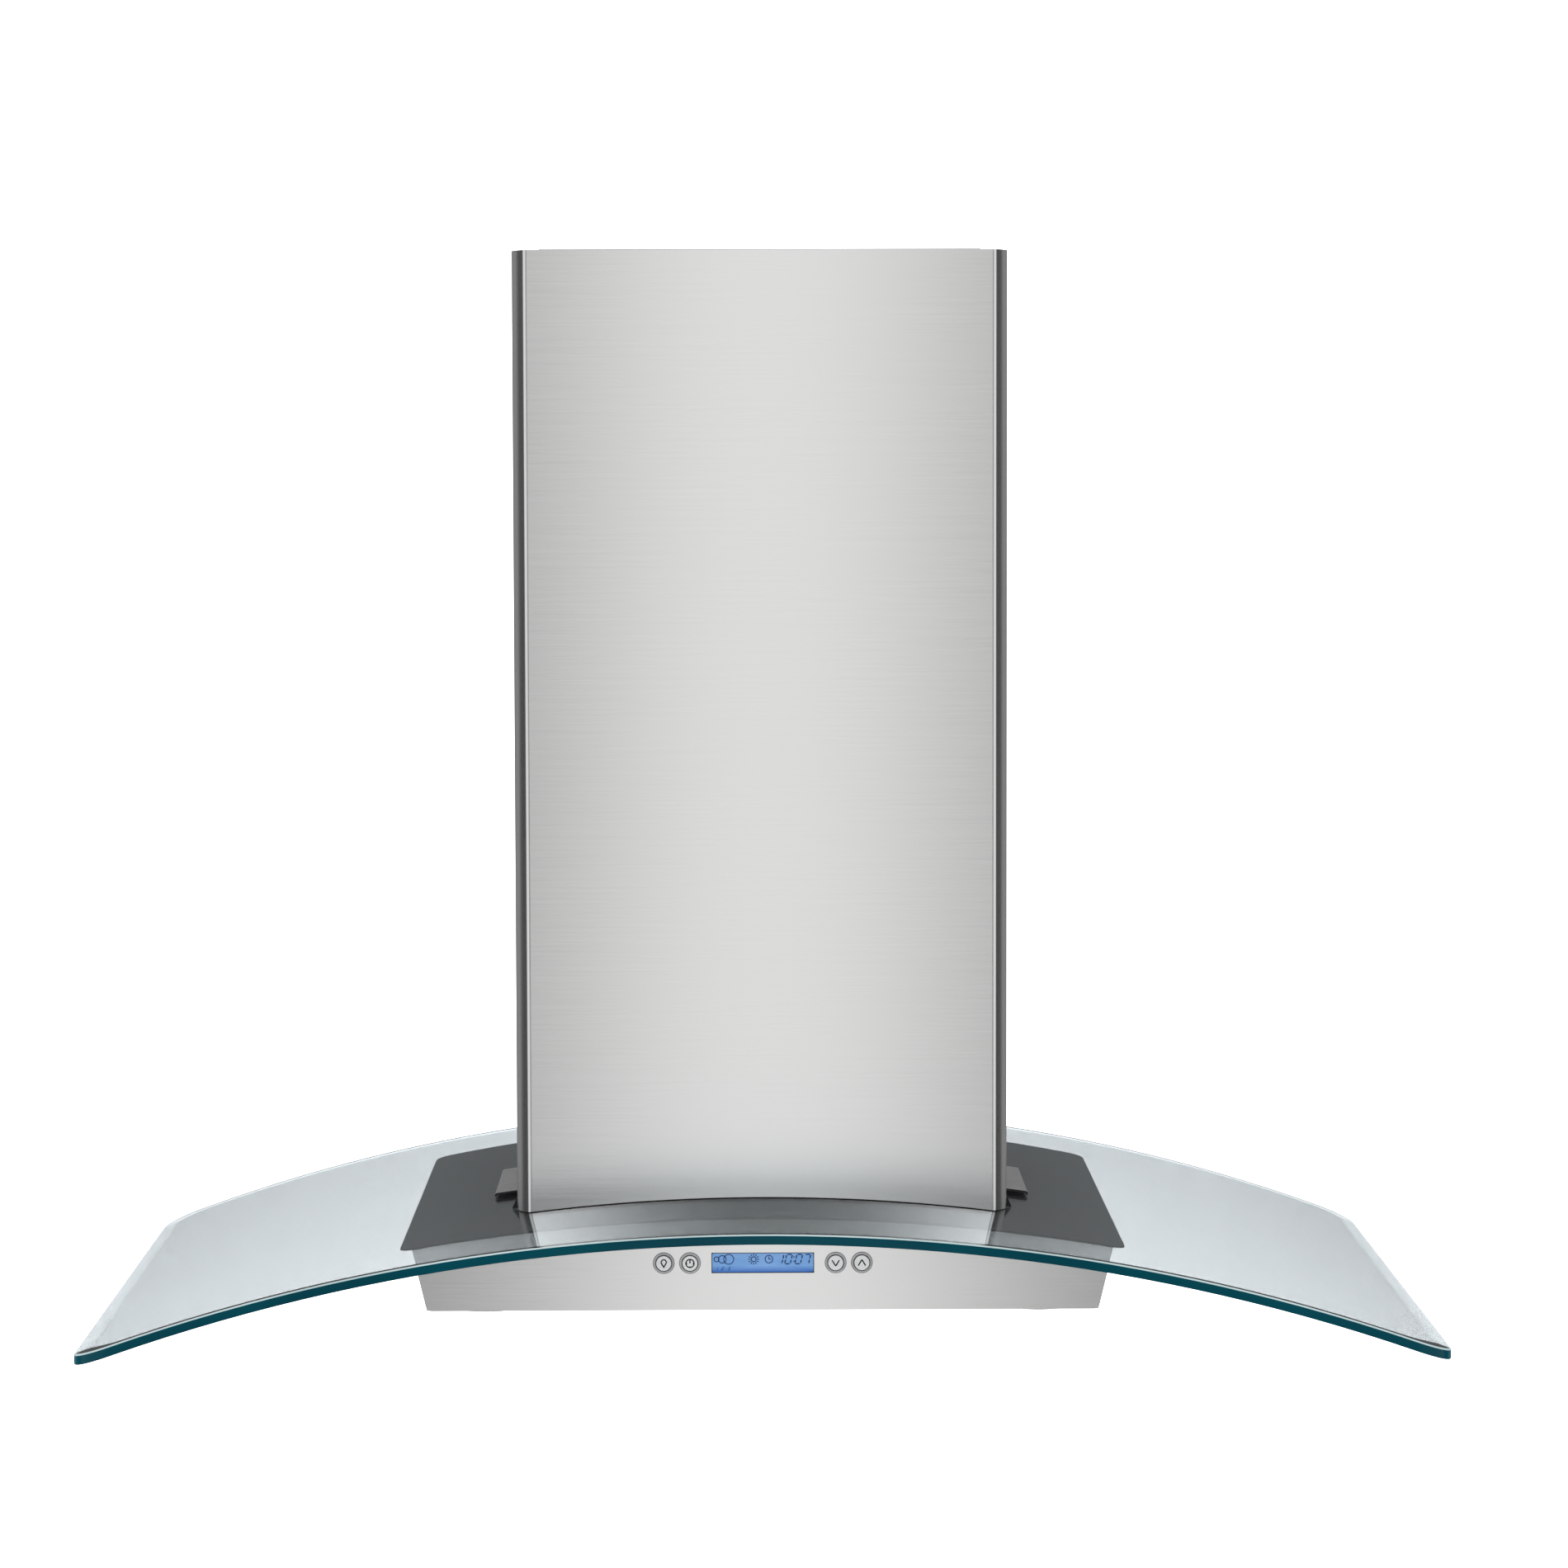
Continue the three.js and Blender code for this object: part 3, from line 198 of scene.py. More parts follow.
def linear(code):
    """An sRGB hex colour as linear red, green, blue and 1."""
    srgb = np.array([int(code[i : i + 2], 16) for i in (1, 3, 5)]) / 255
    value = np.where(srgb <= 0.04045, srgb / 12.92, ((srgb + 0.055) / 1.055) ** 2.4)
    return (*value, 1.0)


def add(tree, kind, inputs=None, **settings):
    """Adds a shader node with its settings; inputs maps a socket's name to a value or to a socket to link."""
    made = tree.nodes.new("ShaderNode" + kind)
    for key, value in settings.items():
        setattr(made, key, value)
    for key, value in (inputs or {}).items():
        if isinstance(value, bpy.types.NodeSocket):
            tree.links.new(value, made.inputs[key])
        else:
            made.inputs[key].default_value = value
    return made


def finish(name, **sockets):
    """A material with one Principled shader, its sockets set by name with _ for a space."""
    made = bpy.data.materials.new(name)
    made.use_nodes = True
    shader = made.node_tree.nodes["Principled BSDF"]
    for key, value in sockets.items():
        shader.inputs[key.replace("_", " ")].default_value = value
    return made, made.node_tree, shader


def streaks(tree, grain_length, grain_width):
    """Noise drawn out along X: grain_length by grain_width in metres."""
    stretch = (1 / grain_length, 1 / grain_width, 1 / grain_width)
    place = add(tree, "TexCoord").outputs["Object"]
    mapped = add(tree, "Mapping", {"Vector": place, "Scale": stretch}).outputs["Vector"]
    wanted = {"Vector": mapped, "Scale": 1.0, "Detail": 3.0, "Roughness": 0.65}
    return add(tree, "TexNoise", wanted).outputs["Fac"]


def shade(tree, factor, dark, light):
    """A colour between dark and light."""
    mixed = add(tree, "Mix", {"Factor": factor}, data_type="RGBA")
    mixed.inputs[6].default_value, mixed.inputs[7].default_value = dark, light
    return mixed.outputs[2]


def spread(tree, factor, low, high):
    """The middle half of a noise, stretched to run from low to high."""
    wanted = {"Value": factor, "From Min": 0.3, "From Max": 0.7, "To Min": low, "To Max": high}
    return add(tree, "MapRange", wanted).outputs["Result"]


GLASS_TINT = "#F5F9FB"  # what one face of the sheet takes off the light


def brushed_stainless(name, mapped=True):
    """304 stainless sheet, belt-brushed along X: highlights smear square to the fine lines.

    The lines are drawn 0.7 mm apart, coarser than real ones, which are a tenth of that and too fine to show.
    A mapped sheet takes its grain from the Grain map, any other from the circle about Z, turned a quarter.
    """
    made, tree, shader = finish(name, Metallic=1.0, Anisotropic=0.85)
    fine = streaks(tree, 70 * MM, 0.7 * MM)
    colour = shade(tree, spread(tree, fine, 0, 1), linear("#DADAD9"), linear("#E0E0DF"))
    tree.links.new(colour, shader.inputs["Base Color"])
    tree.links.new(spread(tree, fine, 0.2, 0.22), shader.inputs["Roughness"])
    bump = add(tree, "Bump", {"Height": fine, "Strength": 0.04, "Distance": 0.02 * MM})
    tree.links.new(bump.outputs["Normal"], shader.inputs["Normal"])
    if mapped:
        tangent = add(tree, "Tangent", direction_type="UV_MAP", uv_map="Grain")
    else:
        tangent = add(tree, "Tangent", direction_type="RADIAL", axis="Z")
        shader.inputs["Anisotropic Rotation"].default_value = 0.25
    tree.links.new(tangent.outputs["Tangent"], shader.inputs["Tangent"])
    return made


def cast_metal(name, dark, light, roughness, metallic=1.0):
    """Zinc, spun or rolled metal: a 0.6 mm grit in its shade and gloss, over 14 mm patches of crystal."""
    made, tree, shader = finish(name, Metallic=metallic, Roughness=roughness)
    place = add(tree, "TexCoord").outputs["Object"]
    noise = add(tree, "TexNoise", {"Vector": place, "Scale": 1 / (0.6 * MM), "Detail": 2.0}).outputs["Fac"]
    patches = add(tree, "TexVoronoi", {"Vector": place, "Scale": 1 / (14 * MM)}).outputs["Color"]
    patch = add(tree, "SeparateColor", {"Color": patches}).outputs["Red"]
    mixed = add(tree, "Mix", {"Factor": 0.45, "A": noise, "B": patch}).outputs["Result"]
    tree.links.new(shade(tree, mixed, linear(dark), linear(light)), shader.inputs["Base Color"])
    tree.links.new(spread(tree, noise, roughness - 0.05, roughness + 0.06), shader.inputs["Roughness"])
    return made


def satin_enamel(name, colour):
    """Baked dark grey enamel over steel: satin, with a faint orange peel."""
    made, tree, shader = finish(name, Roughness=0.42, IOR=1.5)
    place = add(tree, "TexCoord").outputs["Object"]
    peel = add(tree, "TexNoise", {"Vector": place, "Scale": 1 / (1.8 * MM), "Detail": 1.0}).outputs["Fac"]
    drift = add(tree, "TexNoise", {"Vector": place, "Scale": 1 / (90 * MM), "Detail": 1.0}).outputs["Fac"]
    near = tuple(0.86 * c for c in linear(colour)[:3]) + (1.0,)
    tree.links.new(shade(tree, spread(tree, drift, 0, 1), near, linear(colour)), shader.inputs["Base Color"])
    tree.links.new(spread(tree, peel, 0.38, 0.46), shader.inputs["Roughness"])
    bump = add(tree, "Bump", {"Height": peel, "Strength": 0.02, "Distance": 0.01 * MM})
    tree.links.new(bump.outputs["Normal"], shader.inputs["Normal"])
    return made


def moulded(name, colour, roughness, grain=0.5 * MM, **sockets):
    """Moulded plastic or rubber: a fine spark-eroded grain breaks up its sheen."""
    made, tree, shader = finish(name, Base_Color=linear(colour), **sockets)
    place = add(tree, "TexCoord").outputs["Object"]
    noise = add(tree, "TexNoise", {"Vector": place, "Scale": 1 / grain, "Detail": 2.0}).outputs["Fac"]
    tree.links.new(spread(tree, noise, roughness - 0.05, roughness + 0.05), shader.inputs["Roughness"])
    bump = add(tree, "Bump", {"Height": noise, "Strength": 0.3, "Distance": 0.02 * MM})
    tree.links.new(bump.outputs["Normal"], shader.inputs["Normal"])
    return made


def toughened_glass(name):
    """Toughened float glass: clear, faintly blue, and more of a mirror the lower the angle.

    It bends what lies under it, so the plate seems to lie higher than it does. Lamps shine straight through.
    """
    made, tree, shader = finish(name)
    tree.nodes.remove(shader)
    bent = add(tree, "BsdfGlass", {"Color": linear(GLASS_TINT), "Roughness": 0.0, "IOR": 1.5}).outputs["BSDF"]
    clear = add(tree, "BsdfTransparent", {"Color": linear(GLASS_TINT)}).outputs["BSDF"]
    shadow = add(tree, "LightPath").outputs["Is Shadow Ray"]
    mixed = add(tree, "MixShader", {0: shadow, 1: bent, 2: clear}).outputs["Shader"]
    tree.links.new(mixed, tree.nodes["Material Output"].inputs["Surface"])
    return made


def ground_edge(name, dark, light, roughness):
    """The glass's ground edge: deep teal, as light has crossed the whole sheet; its arris is painted pale, a
    painted highlight.

    From inside the sheet the edge is clear, as it is where it is seen through the top.
    """
    made, tree, shader = finish(name, Roughness=roughness, IOR=1.5, Specular_IOR_Level=0.1)
    place = add(tree, "TexCoord").outputs["Object"]
    drift = add(tree, "TexNoise", {"Vector": place, "Scale": 1 / (90 * MM), "Detail": 1.0}).outputs["Fac"]
    colour = shade(tree, spread(tree, drift, 0, 1), linear(dark), linear(light))
    tree.links.new(colour, shader.inputs["Base Color"])
    inside = add(tree, "NewGeometry").outputs["Backfacing"]
    clear = add(tree, "BsdfTransparent", {"Color": linear(GLASS_TINT)}).outputs["BSDF"]
    mixed = add(tree, "MixShader", {0: inside, 1: shader.outputs[0], 2: clear}).outputs[0]
    tree.links.new(mixed, tree.nodes["Material Output"].inputs["Surface"])
    return made


STEEL = brushed_stainless("brushed_stainless_304")
STEEL_FLAT = brushed_stainless("brushed_stainless_panel", mapped=False)
STEEL_PAN = brushed_stainless("brushed_stainless_pan", mapped=False)
ENAMEL = satin_enamel("dark_grey_enamel", "#443D3B")
CLAMP_STEEL = cast_metal("oiled_steel_strip", "#666667", "#7A7A7B", metallic=0.4, roughness=0.34)
ZINC = cast_metal("zinc_plated_steel", "#8E9598", "#B4BABD", roughness=0.42)
ALUMINIUM = cast_metal("anodised_aluminium", "#B9BBBB", "#CFD1D1", roughness=0.34)
SPUN = cast_metal("spun_aluminium_cap", "#E6E6E5", "#F2F2F1", metallic=0.5, roughness=0.3)
CHROME = cast_metal("satin_plated_ring", "#EDEDEC", "#F6F6F5", metallic=0.1, roughness=0.25)
RUBBER = moulded("black_epdm_rubber", "#0C0C0D", 0.72, IOR=1.5)
BLACK_PLASTIC = moulded("black_abs", "#161617", 0.48, IOR=1.53)
BOARD = moulded("green_solder_mask", "#14532F", 0.36, grain=2.5 * MM, IOR=1.5)
# Black print; also laid on as painted shadow: the clamps' cut ends, a line round each cap and a ring round
# each button's plated ring.
PRINT_AND_SHADOW_BLACK = moulded("black_print_and_painted_shadow", "#101114", 0.5, IOR=1.5)
NAVY_INK = moulded("navy_segments", "#0B2A63", 0.45, IOR=1.5)
GLASS = toughened_glass("clear_toughened_glass")
GLASS_EDGE = ground_edge("ground_glass_edge", "#003A46", "#00434F", 0.16)
# The arris's pale colour is a painted highlight along the glass's top edge.
GLASS_ARRIS_HIGHLIGHT = ground_edge("glass_arris_painted_highlight", "#A9BCBE", "#B9CBCD", 0.5)


def display_window(name, top, bottom):
    """Acrylic over a lit liquid crystal: pale blue, deeper along its lower edge, under a gloss coat."""
    made, tree, shader = finish(name, Roughness=0.3, IOR=1.49, Coat_Weight=0.6, Coat_Roughness=0.06)
    low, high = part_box("lcd_window")
    height = add(tree, "SeparateXYZ", {"Vector": add(tree, "TexCoord").outputs["Object"]}).outputs["Z"]
    reach = {"Value": height, "From Min": low.z, "From Max": high.z}
    share = add(tree, "MapRange", reach).outputs["Result"]
    ramp = add(tree, "ValToRGB", {"Fac": share})
    ramp.color_ramp.elements[0].position, ramp.color_ramp.elements[0].color = 0.06, linear(bottom)
    ramp.color_ramp.elements[1].position, ramp.color_ramp.elements[1].color = 0.36, linear(top)
    tree.links.new(ramp.outputs["Color"], shader.inputs["Base Color"])
    tree.links.new(ramp.outputs["Color"], shader.inputs["Emission Color"])
    shader.inputs["Emission Strength"].default_value = 0.2
    return made


def frosted_lens(name):
    """Sandblasted lamp glass: milky, with soft gloss."""
    made, tree, shader = finish(name, Base_Color=linear("#EDEFEE"), IOR=1.5, Transmission_Weight=0.35)
    place = add(tree, "TexCoord").outputs["Object"]
    frost = add(tree, "TexNoise", {"Vector": place, "Scale": 1 / (0.7 * MM)}).outputs["Fac"]
    tree.links.new(spread(tree, frost, 0.4, 0.55), shader.inputs["Roughness"])
    return made


DISPLAY = display_window("lit_blue_display", "#719FD6", "#2763B0")
LENS = frosted_lens("frosted_lamp_glass")

# ---------------------------------------------------------------- chimney


def cover_outline(inset, face_points=40, cheek_points=16, side_points=6):
    """Plan of a cover's front half, from its left seam to its right: side, cheek arc, folded edge, flat face.

    The cheek is a circle that meets the side squarely and the face at an angle; the fold is a parabola.
    """
    step = (CHIMNEY_WIDTH - FACE_WIDTH) / 2
    radius = (CHEEK_DEPTH**2 + step**2) / (2 * step)
    middle = np.array([CHIMNEY_WIDTH / 2 - radius, CHEEK_DEPTH - CHIMNEY_DEPTH / 2])
    radius -= inset
    turn = math.asin((CHEEK_DEPTH - inset) / radius)
    corner = middle + radius * np.array([math.cos(turn), -math.sin(turn)])
    angle = np.linspace(-turn + FOLD / radius, 0, cheek_points)
    cheek = middle + radius * np.stack([np.cos(angle), np.sin(angle)], axis=-1)
    face = np.linspace([0, corner[1]], [corner[0] - FOLD - 0.3 * MM, corner[1]], face_points)
    face = np.concatenate([face, [[corner[0] - FOLD, corner[1]]]])
    t = np.linspace(0, 1, 8)[1:-1, None]
    fold = (1 - t) ** 2 * face[-1] + 2 * t * (1 - t) * corner + t**2 * cheek[0]
    notch = clamp_high.y + CLAMP_ROOM
    x = cheek[-1, 0]
    heights = [*np.linspace(cheek[-1, 1], -notch, side_points)[1:], -notch + 0.01 * MM, -SEAM / 2]
    side = np.array([[x, y] for y in heights])
    right = np.concatenate([face, fold, cheek, side])
    return np.concatenate([right[:0:-1] * [-1, 1], right])


def cover_half(inset, foot, top, front, rows=14):
    """One folded half of a chimney tube: its plan outline carried straight up from foot(x, y) to top."""
    t = np.linspace(0, 1, rows)[:, None]
    sheets = []
    for depth in (inset, inset + SHEET):
        x, y = cover_outline(depth).T
        z = foot(x, y) * (1 - t) + top * t
        y = np.broadcast_to(y if front else -y, z.shape)
        sheets.append(np.stack([np.broadcast_to(x, z.shape), y, z], axis=-1))
    return (*shell(*sheets), STEEL)


def lower_foot(x, y):
    """The lower cover follows the glass, and is cut out over the clamps."""
    over_clamp = np.abs(y) < clamp_high.y + CLAMP_ROOM - 0.005 * MM
    return arch(x, np.where(over_clamp, CLAMP_LIFT + CLAMP_SHEET + CLAMP_ROOM, CHIMNEY_SEAT))


def chimney():
    upper_low, upper_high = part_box("upper_chimney_front")
    upper_inset = (CHIMNEY_WIDTH - (upper_high.x - upper_low.x)) / 2
    for end, front in (("front", True), ("rear", False)):
        lower = cover_half(0, lower_foot, CHIMNEY_TOP, front)
        piece(f"lower_cover_{end}", [lower], "hood", [f"lower_chimney_{end}"])
        upper = cover_half(upper_inset, lambda x, y: 0 * x + upper_low.z, upper_high.z, front)
        piece(f"upper_cover_{end}", [upper], "ceiling_support", [f"upper_chimney_{end}"])


# ---------------------------------------------------------------- glass and plate


def plan_loop(width, depth, bow, corner, edge_points=48, corner_points=12):
    """A rectangle with rounded corners in plan, whose front and rear edges bow outwards as circle arcs.

    Runs from the front edge's left end, around by the right side. depth is measured over the bows.
    """
    x = width / 2 - corner
    if bow:
        radius = ((width / 2) ** 2 + bow**2) / (2 * bow)
        centre = radius - depth / 2
        y = math.sqrt((radius - corner) ** 2 - x**2) - centre
        turn = math.atan2(x, y + centre)
        angle = np.linspace(-turn, turn, edge_points)
        front = np.stack([radius * np.sin(angle), centre - radius * np.cos(angle)], axis=-1)
    else:
        turn = 0
        y = depth / 2 - corner
        front = np.linspace([-x, -depth / 2], [x, -depth / 2], edge_points)
    angle = np.linspace(turn - math.pi / 2, 0, corner_points + 1)[1:]
    bend = np.array([x, -y]) + corner * np.stack([np.cos(angle), np.sin(angle)], axis=-1)
    side = np.linspace(bend[-1], bend[-1] * [1, -1], 24)[1:-1]
    half = np.concatenate([front, bend, side, bend[::-1] * [1, -1]])
    return np.concatenate([half, -half])


def bent_ring(outer, inner, thickness, top_offset, edge, steps=26):
    """A bent sheet with a cut-out, as a closed ring.

    Plan points slide from the inner loop to the outer one along both faces, each at the bend's height.
    The outer edge is rounded by quarter circles of radius edge. outer(inset) and inner are plan loops.
    Returns the two faces with the cut-out's wall, the upper rounding, and the rest of the outer edge.
    """

    def lifted(plan, offset):
        return np.concatenate([plan, arch(plan[:, :1], offset)], axis=-1)

    s = np.linspace(0, 1, steps)
    rim = outer(edge)
    top = [lifted(inner * (1 - t) + rim * t, top_offset) for t in s]
    under = [lifted(inner * (1 - t) + rim * t, top_offset - thickness) for t in s]
    quarter = np.linspace(0, math.pi / 2, 6)
    upper = [lifted(outer(edge * (1 - math.sin(a))), top_offset - edge * (1 - math.cos(a))) for a in quarter]
    lower = [
        lifted(outer(edge * (1 - math.sin(a))), top_offset - thickness + edge * (1 - math.cos(a)))
        for a in quarter[::-1]
    ]
    grids = (under[::-1] + top, upper, upper[-1:] + lower)
    return tuple(skin(np.array(grid), wrap_columns=True) for grid in grids)


def glass():
    """The canopy: clear faces, and an edge that is a finish of its own."""

    def outline(inset):
        return plan_loop(GLASS_WIDTH - 2 * inset, GLASS_DEPTH - 2 * inset, GLASS_BOW, GLASS_CORNER - inset)

    cutout = plan_loop(NECK_WIDTH + 2 * CUTOUT_GROWTH, NECK_DEPTH + 2 * CUTOUT_GROWTH, 0, CUTOUT_CORNER)
    faces, arris, edge = bent_ring(outline, cutout, GLASS_THICKNESS, 0, ARRIS)
    surfaces = [(*faces, GLASS), (*arris, GLASS_ARRIS_HIGHLIGHT), (*edge, GLASS_EDGE)]
    piece("glass_sheet", surfaces, "hood", ["glass_canopy"], crease=50)


def plate_and_neck():
    """The enamelled plate under the glass, and the rectangular neck that comes up through it."""
    width, depth = plate_high.x - plate_low.x, plate_high.y - plate_low.y

    def outline(inset):
        return plan_loop(width - 2 * inset, depth - 2 * inset, PLATE_BOW, PLATE_CORNER - inset)

    hole = plan_loop(NECK_WIDTH, NECK_DEPTH, 0, 2 * MM)
    ring = bent_ring(outline, hole, PLATE_SHEET, PLATE_OFFSET, 0.4 * MM, steps=16)
    bore = plan_loop(NECK_WIDTH - 2 * NECK_SHEET, NECK_DEPTH - 2 * NECK_SHEET, 0, 0.5 * MM)
    heights = (CROWN - 27 * MM, plate_high.z)
    rings = [(hole, heights[0]), (hole, heights[1]), (bore, heights[1]), (bore, heights[0])]
    walls = np.array([np.concatenate([loop, np.full((len(loop), 1), z)], axis=-1) for loop, z in rings])
    neck = skin(walls, wrap_rows=True, wrap_columns=True)
    surfaces = [(*part, ENAMEL) for part in (*ring, neck)]
    piece("canopy_plate", surfaces, "hood", ["canopy_top"])


# ---------------------------------------------------------------- clamps


def bent_strip(path, thickness):
    """Both edges of a folded strip seen end on: the path, moved half the thickness along its normal."""
    along = np.gradient(path, axis=0)
    normal = np.stack([-along[:, 1], along[:, 0]], axis=-1)
    normal /= np.linalg.norm(normal, axis=1, keepdims=True)
    return path + normal * thickness / 2, path - normal * thickness / 2


def clamp(side):
    """A clamp in steel strip: up the neck, out over the glass along its bend, and turned down at its lip.

    Its cut ends are painted black: a painted shadow.
    """
    inner, outer = NECK_WIDTH / 2 + 1.2 * MM, clamp_high.x
    middle = CLAMP_LIFT + CLAMP_SHEET / 2
    x = np.linspace(inner + 3 * MM, outer - 2.6 * MM, 24)
    leaf = np.stack([x, arch(x, middle)], axis=-1)
    t = np.linspace(0, math.pi / 2, 7)[:, None]
    lip_radius = 1.6 * MM
    lip = leaf[-1] + lip_radius * np.concatenate([np.sin(t), np.cos(t) - 1], axis=-1)
    drop = lip[-1] + np.array([[0, -0.3 * MM], [0, -0.6 * MM]])
    up = np.array([[inner, plate_high.z - 0.2 * MM], [inner, leaf[0, 1] + 3 * MM]])
    root = leaf[0] + 3 * MM * np.concatenate([-np.sin(t), 1 - np.cos(t)], axis=-1)[::-1]
    path = np.concatenate([up[:1], root, leaf[1:], lip[1:], drop])
    left, right = bent_strip(path, CLAMP_SHEET)
    y = np.array([clamp_low.y, clamp_low.y + 0.4 * MM, clamp_high.y - 0.4 * MM, clamp_high.y])
    sheets = []
    for edge in (left, right):
        grid = np.empty((len(y), len(edge), 3))
        grid[..., 0] = side * edge[:, 0]
        grid[..., 1] = y[:, None]
        grid[..., 2] = edge[:, 1]
        sheets.append(grid)
    upper, lower = sheets
    long_edges = [skin(np.stack([upper[:, i], lower[:, i]])) for i in (0, -1)]
    ends = [skin(np.stack([upper[i], lower[i]])) for i in (0, -1)]
    # The cut ends take the black: a painted shadow on the strip's ends.
    return [(*joined(skin(upper), skin(lower), *long_edges), CLAMP_STEEL), (*joined(*ends), PRINT_AND_SHADOW_BLACK)]


def clamps():
    for name, side in (("left", -1), ("right", 1)):
        piece(f"clamp_{name}", clamp(side), "hood", [f"glass_clamp_{name}"], crease=40)


# ---------------------------------------------------------------- controls


def stroke(path, width, y, depth=0.08 * MM, closed=False):
    """A flat line of ink on an upright face: path is in x and z, and its edges lie half a width each way."""
    path = np.asarray(path, float)
    if closed:
        along = np.roll(path, -1, axis=0) - np.roll(path, 1, axis=0)
    else:
        along = np.gradient(path, axis=0)
    normal = np.stack([-along[:, 1], along[:, 0]], axis=-1)
    normal /= np.linalg.norm(normal, axis=1, keepdims=True)
    left, right = path + normal * width / 2, path - normal * width / 2
    corners = [(left, y), (right, y), (right, y + depth), (left, y + depth)]
    edges = [np.stack([p[:, 0], np.full(len(p), h), p[:, 1]], axis=-1) for p, h in corners]
    return sweep(np.stack(edges, axis=1), closed)


def arc(x, z, radius, start=0.0, stop=360.0, points=40):
    """Points on a circle, from start to stop in degrees."""
    closed = abs(stop - start) >= 360
    angle = np.radians(np.linspace(start, stop, points, endpoint=not closed))
    return np.stack([x + radius * np.cos(angle), z + radius * np.sin(angle)], axis=-1)


def line(*points):
    return np.array(points, float)


BUTTON_RADIUS = 6.35 * MM
RING_OUTER = 8.15 * MM
RING_INNER = 6.95 * MM
DISH = 0.14 * MM
PAINTED_SHADOW_WIDTH = 0.4 * MM  # width of the painted shadow lines round a cap and its ring
ICON_INK = 1.0 * MM


def button(node):
    """A turned cap: a shallow dish with a rounded rim, straight sides, and the flange that keeps it in."""
    low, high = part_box(node)
    centre = ((low.x + high.x) / 2, 0, (low.z + high.z) / 2)
    flange = (high.x - low.x) / 2
    r = np.linspace(0, BUTTON_RADIUS - 0.9 * MM, 10)
    dish = np.stack([r, low.y + DISH * (1 - (r / r[-1]) ** 2) ** 2], axis=-1)
    a = np.linspace(0, math.pi / 2, 7)[1:]
    rim_radius = 0.9 * MM
    rim = np.stack([r[-1] + rim_radius * np.sin(a), low.y + rim_radius * (1 - np.cos(a))], axis=-1)
    back = high.y - 2 * MM
    rest = [(BUTTON_RADIUS, back), (flange, back), (flange, high.y), (0, high.y)]
    surface = lathe(np.concatenate([dish, rim, rest]), centre, "Y", 64)
    piece(f"{node}_cap", [(*surface, SPUN)], node, [node])
    return centre[0], centre[2], low.y + DISH - 0.1 * MM


def button_ring(node):
    """The plated ring round a button: a closed section of a rounded lip and two straight walls, turned."""
    low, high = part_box(node)
    front = low.y + 1.0 * MM
    back = PANEL_FACE + 1.0 * MM
    lip = (RING_OUTER - RING_INNER) / 2
    a = np.linspace(0, math.pi, 11)
    middle = (RING_OUTER + RING_INNER) / 2
    round_lip = np.stack([middle - lip * np.cos(a), front + 0.7 * lip * (1 - np.sin(a))], axis=-1)
    profile = np.concatenate([round_lip, [(RING_OUTER, back), (RING_INNER, back)]])
    points, _ = lathe(profile, ((low.x + high.x) / 2, 0, (low.z + high.z) / 2), "Y", 64)
    surface = skin(points.reshape(len(profile), 64, 3), wrap_rows=True, wrap_columns=True)
    piece(f"{node}_ring", [(*surface, CHROME)], "hood")
    x, z = (low.x + high.x) / 2, (low.z + high.z) / 2
    # A black ring on the panel just round the plated ring: a painted shadow where the ring sits on the panel.
    loop = arc(x, z, RING_OUTER + 0.15 * MM, points=64)
    painted_shadow_ring = stroke(loop, PAINTED_SHADOW_WIDTH, PANEL_FACE - 0.12 * MM, closed=True)
    piece(f"{node}_gasket", [(*painted_shadow_ring, PRINT_AND_SHADOW_BLACK)], "hood")


def bulb_icon(x, z, y, w):
    """A lamp: a round globe whose sides run down to a neck, with a bar for its cap."""
    globe = arc(x, z + 1.0 * MM, 2.0 * MM, -40, 220, 30)
    foot = line((x - 0.8 * MM, z - 2.0 * MM), (x + 0.8 * MM, z - 2.0 * MM))
    cap = line((x - 0.7 * MM, z - 2.9 * MM), (x + 0.7 * MM, z - 2.9 * MM))
    sides = [line(globe[0], foot[1]), line(globe[-1], foot[0])]
    return joined(*[stroke(p, w, y) for p in (globe, foot, cap, *sides)])


def dial_icon(x, z, y, w):
    """A dial: a circle with a long upright bar at its top and short ticks at its other quarters."""
    quarters = [line((x, z), (x, z + 3.3 * MM)), line((x, z - 2.4 * MM), (x, z - 3.3 * MM))]
    quarters += [line((x + way * 2.2 * MM, z), (x + way * 3.3 * MM, z)) for way in (-1, 1)]
    return joined(stroke(arc(x, z, 3.2 * MM), w, y, closed=True), *[stroke(p, w, y) for p in quarters])


def chevron_icon(x, z, y, w, way):
    """Two bars that meet at a point above or below."""
    tip = (x, z + way * 2.5 * MM)
    left, right = (x - 2.9 * MM, z - way * 2.2 * MM), (x + 2.9 * MM, z - way * 2.2 * MM)
    return joined(stroke(line(left, tip), w, y), stroke(line(tip, right), w, y))


def buttons():
    """The four buttons, each with a cap, a ring and an icon inside a thin dark circle, a painted shadow of
    the gap between cap and ring.
    """
    icons = {
        "light_button": bulb_icon,
        "power_button": dial_icon,
        "down_button": lambda x, z, y, w: chevron_icon(x, z, y, w, -1),
        "up_button": lambda x, z, y, w: chevron_icon(x, z, y, w, 1),
    }
    for node, icon_and_shadow_line in icons.items():
        x, z, y = button(node)
        button_ring(node)
        # The dark circle on the cap's rim is a painted shadow of the gap between cap and ring.
        rim = stroke(arc(x, z, 6.15 * MM, points=64), PAINTED_SHADOW_WIDTH, y - 0.1 * MM, 0.5 * MM, closed=True)
        piece(f"{node}_icon", [(*joined(icon_and_shadow_line(x, z, y, ICON_INK), rim), PRINT_AND_SHADOW_BLACK)], node)


SEGMENTS = {"0": "abcdef", "1": "bc", "2": "abged", "3": "abgcd", "7": "abc"}


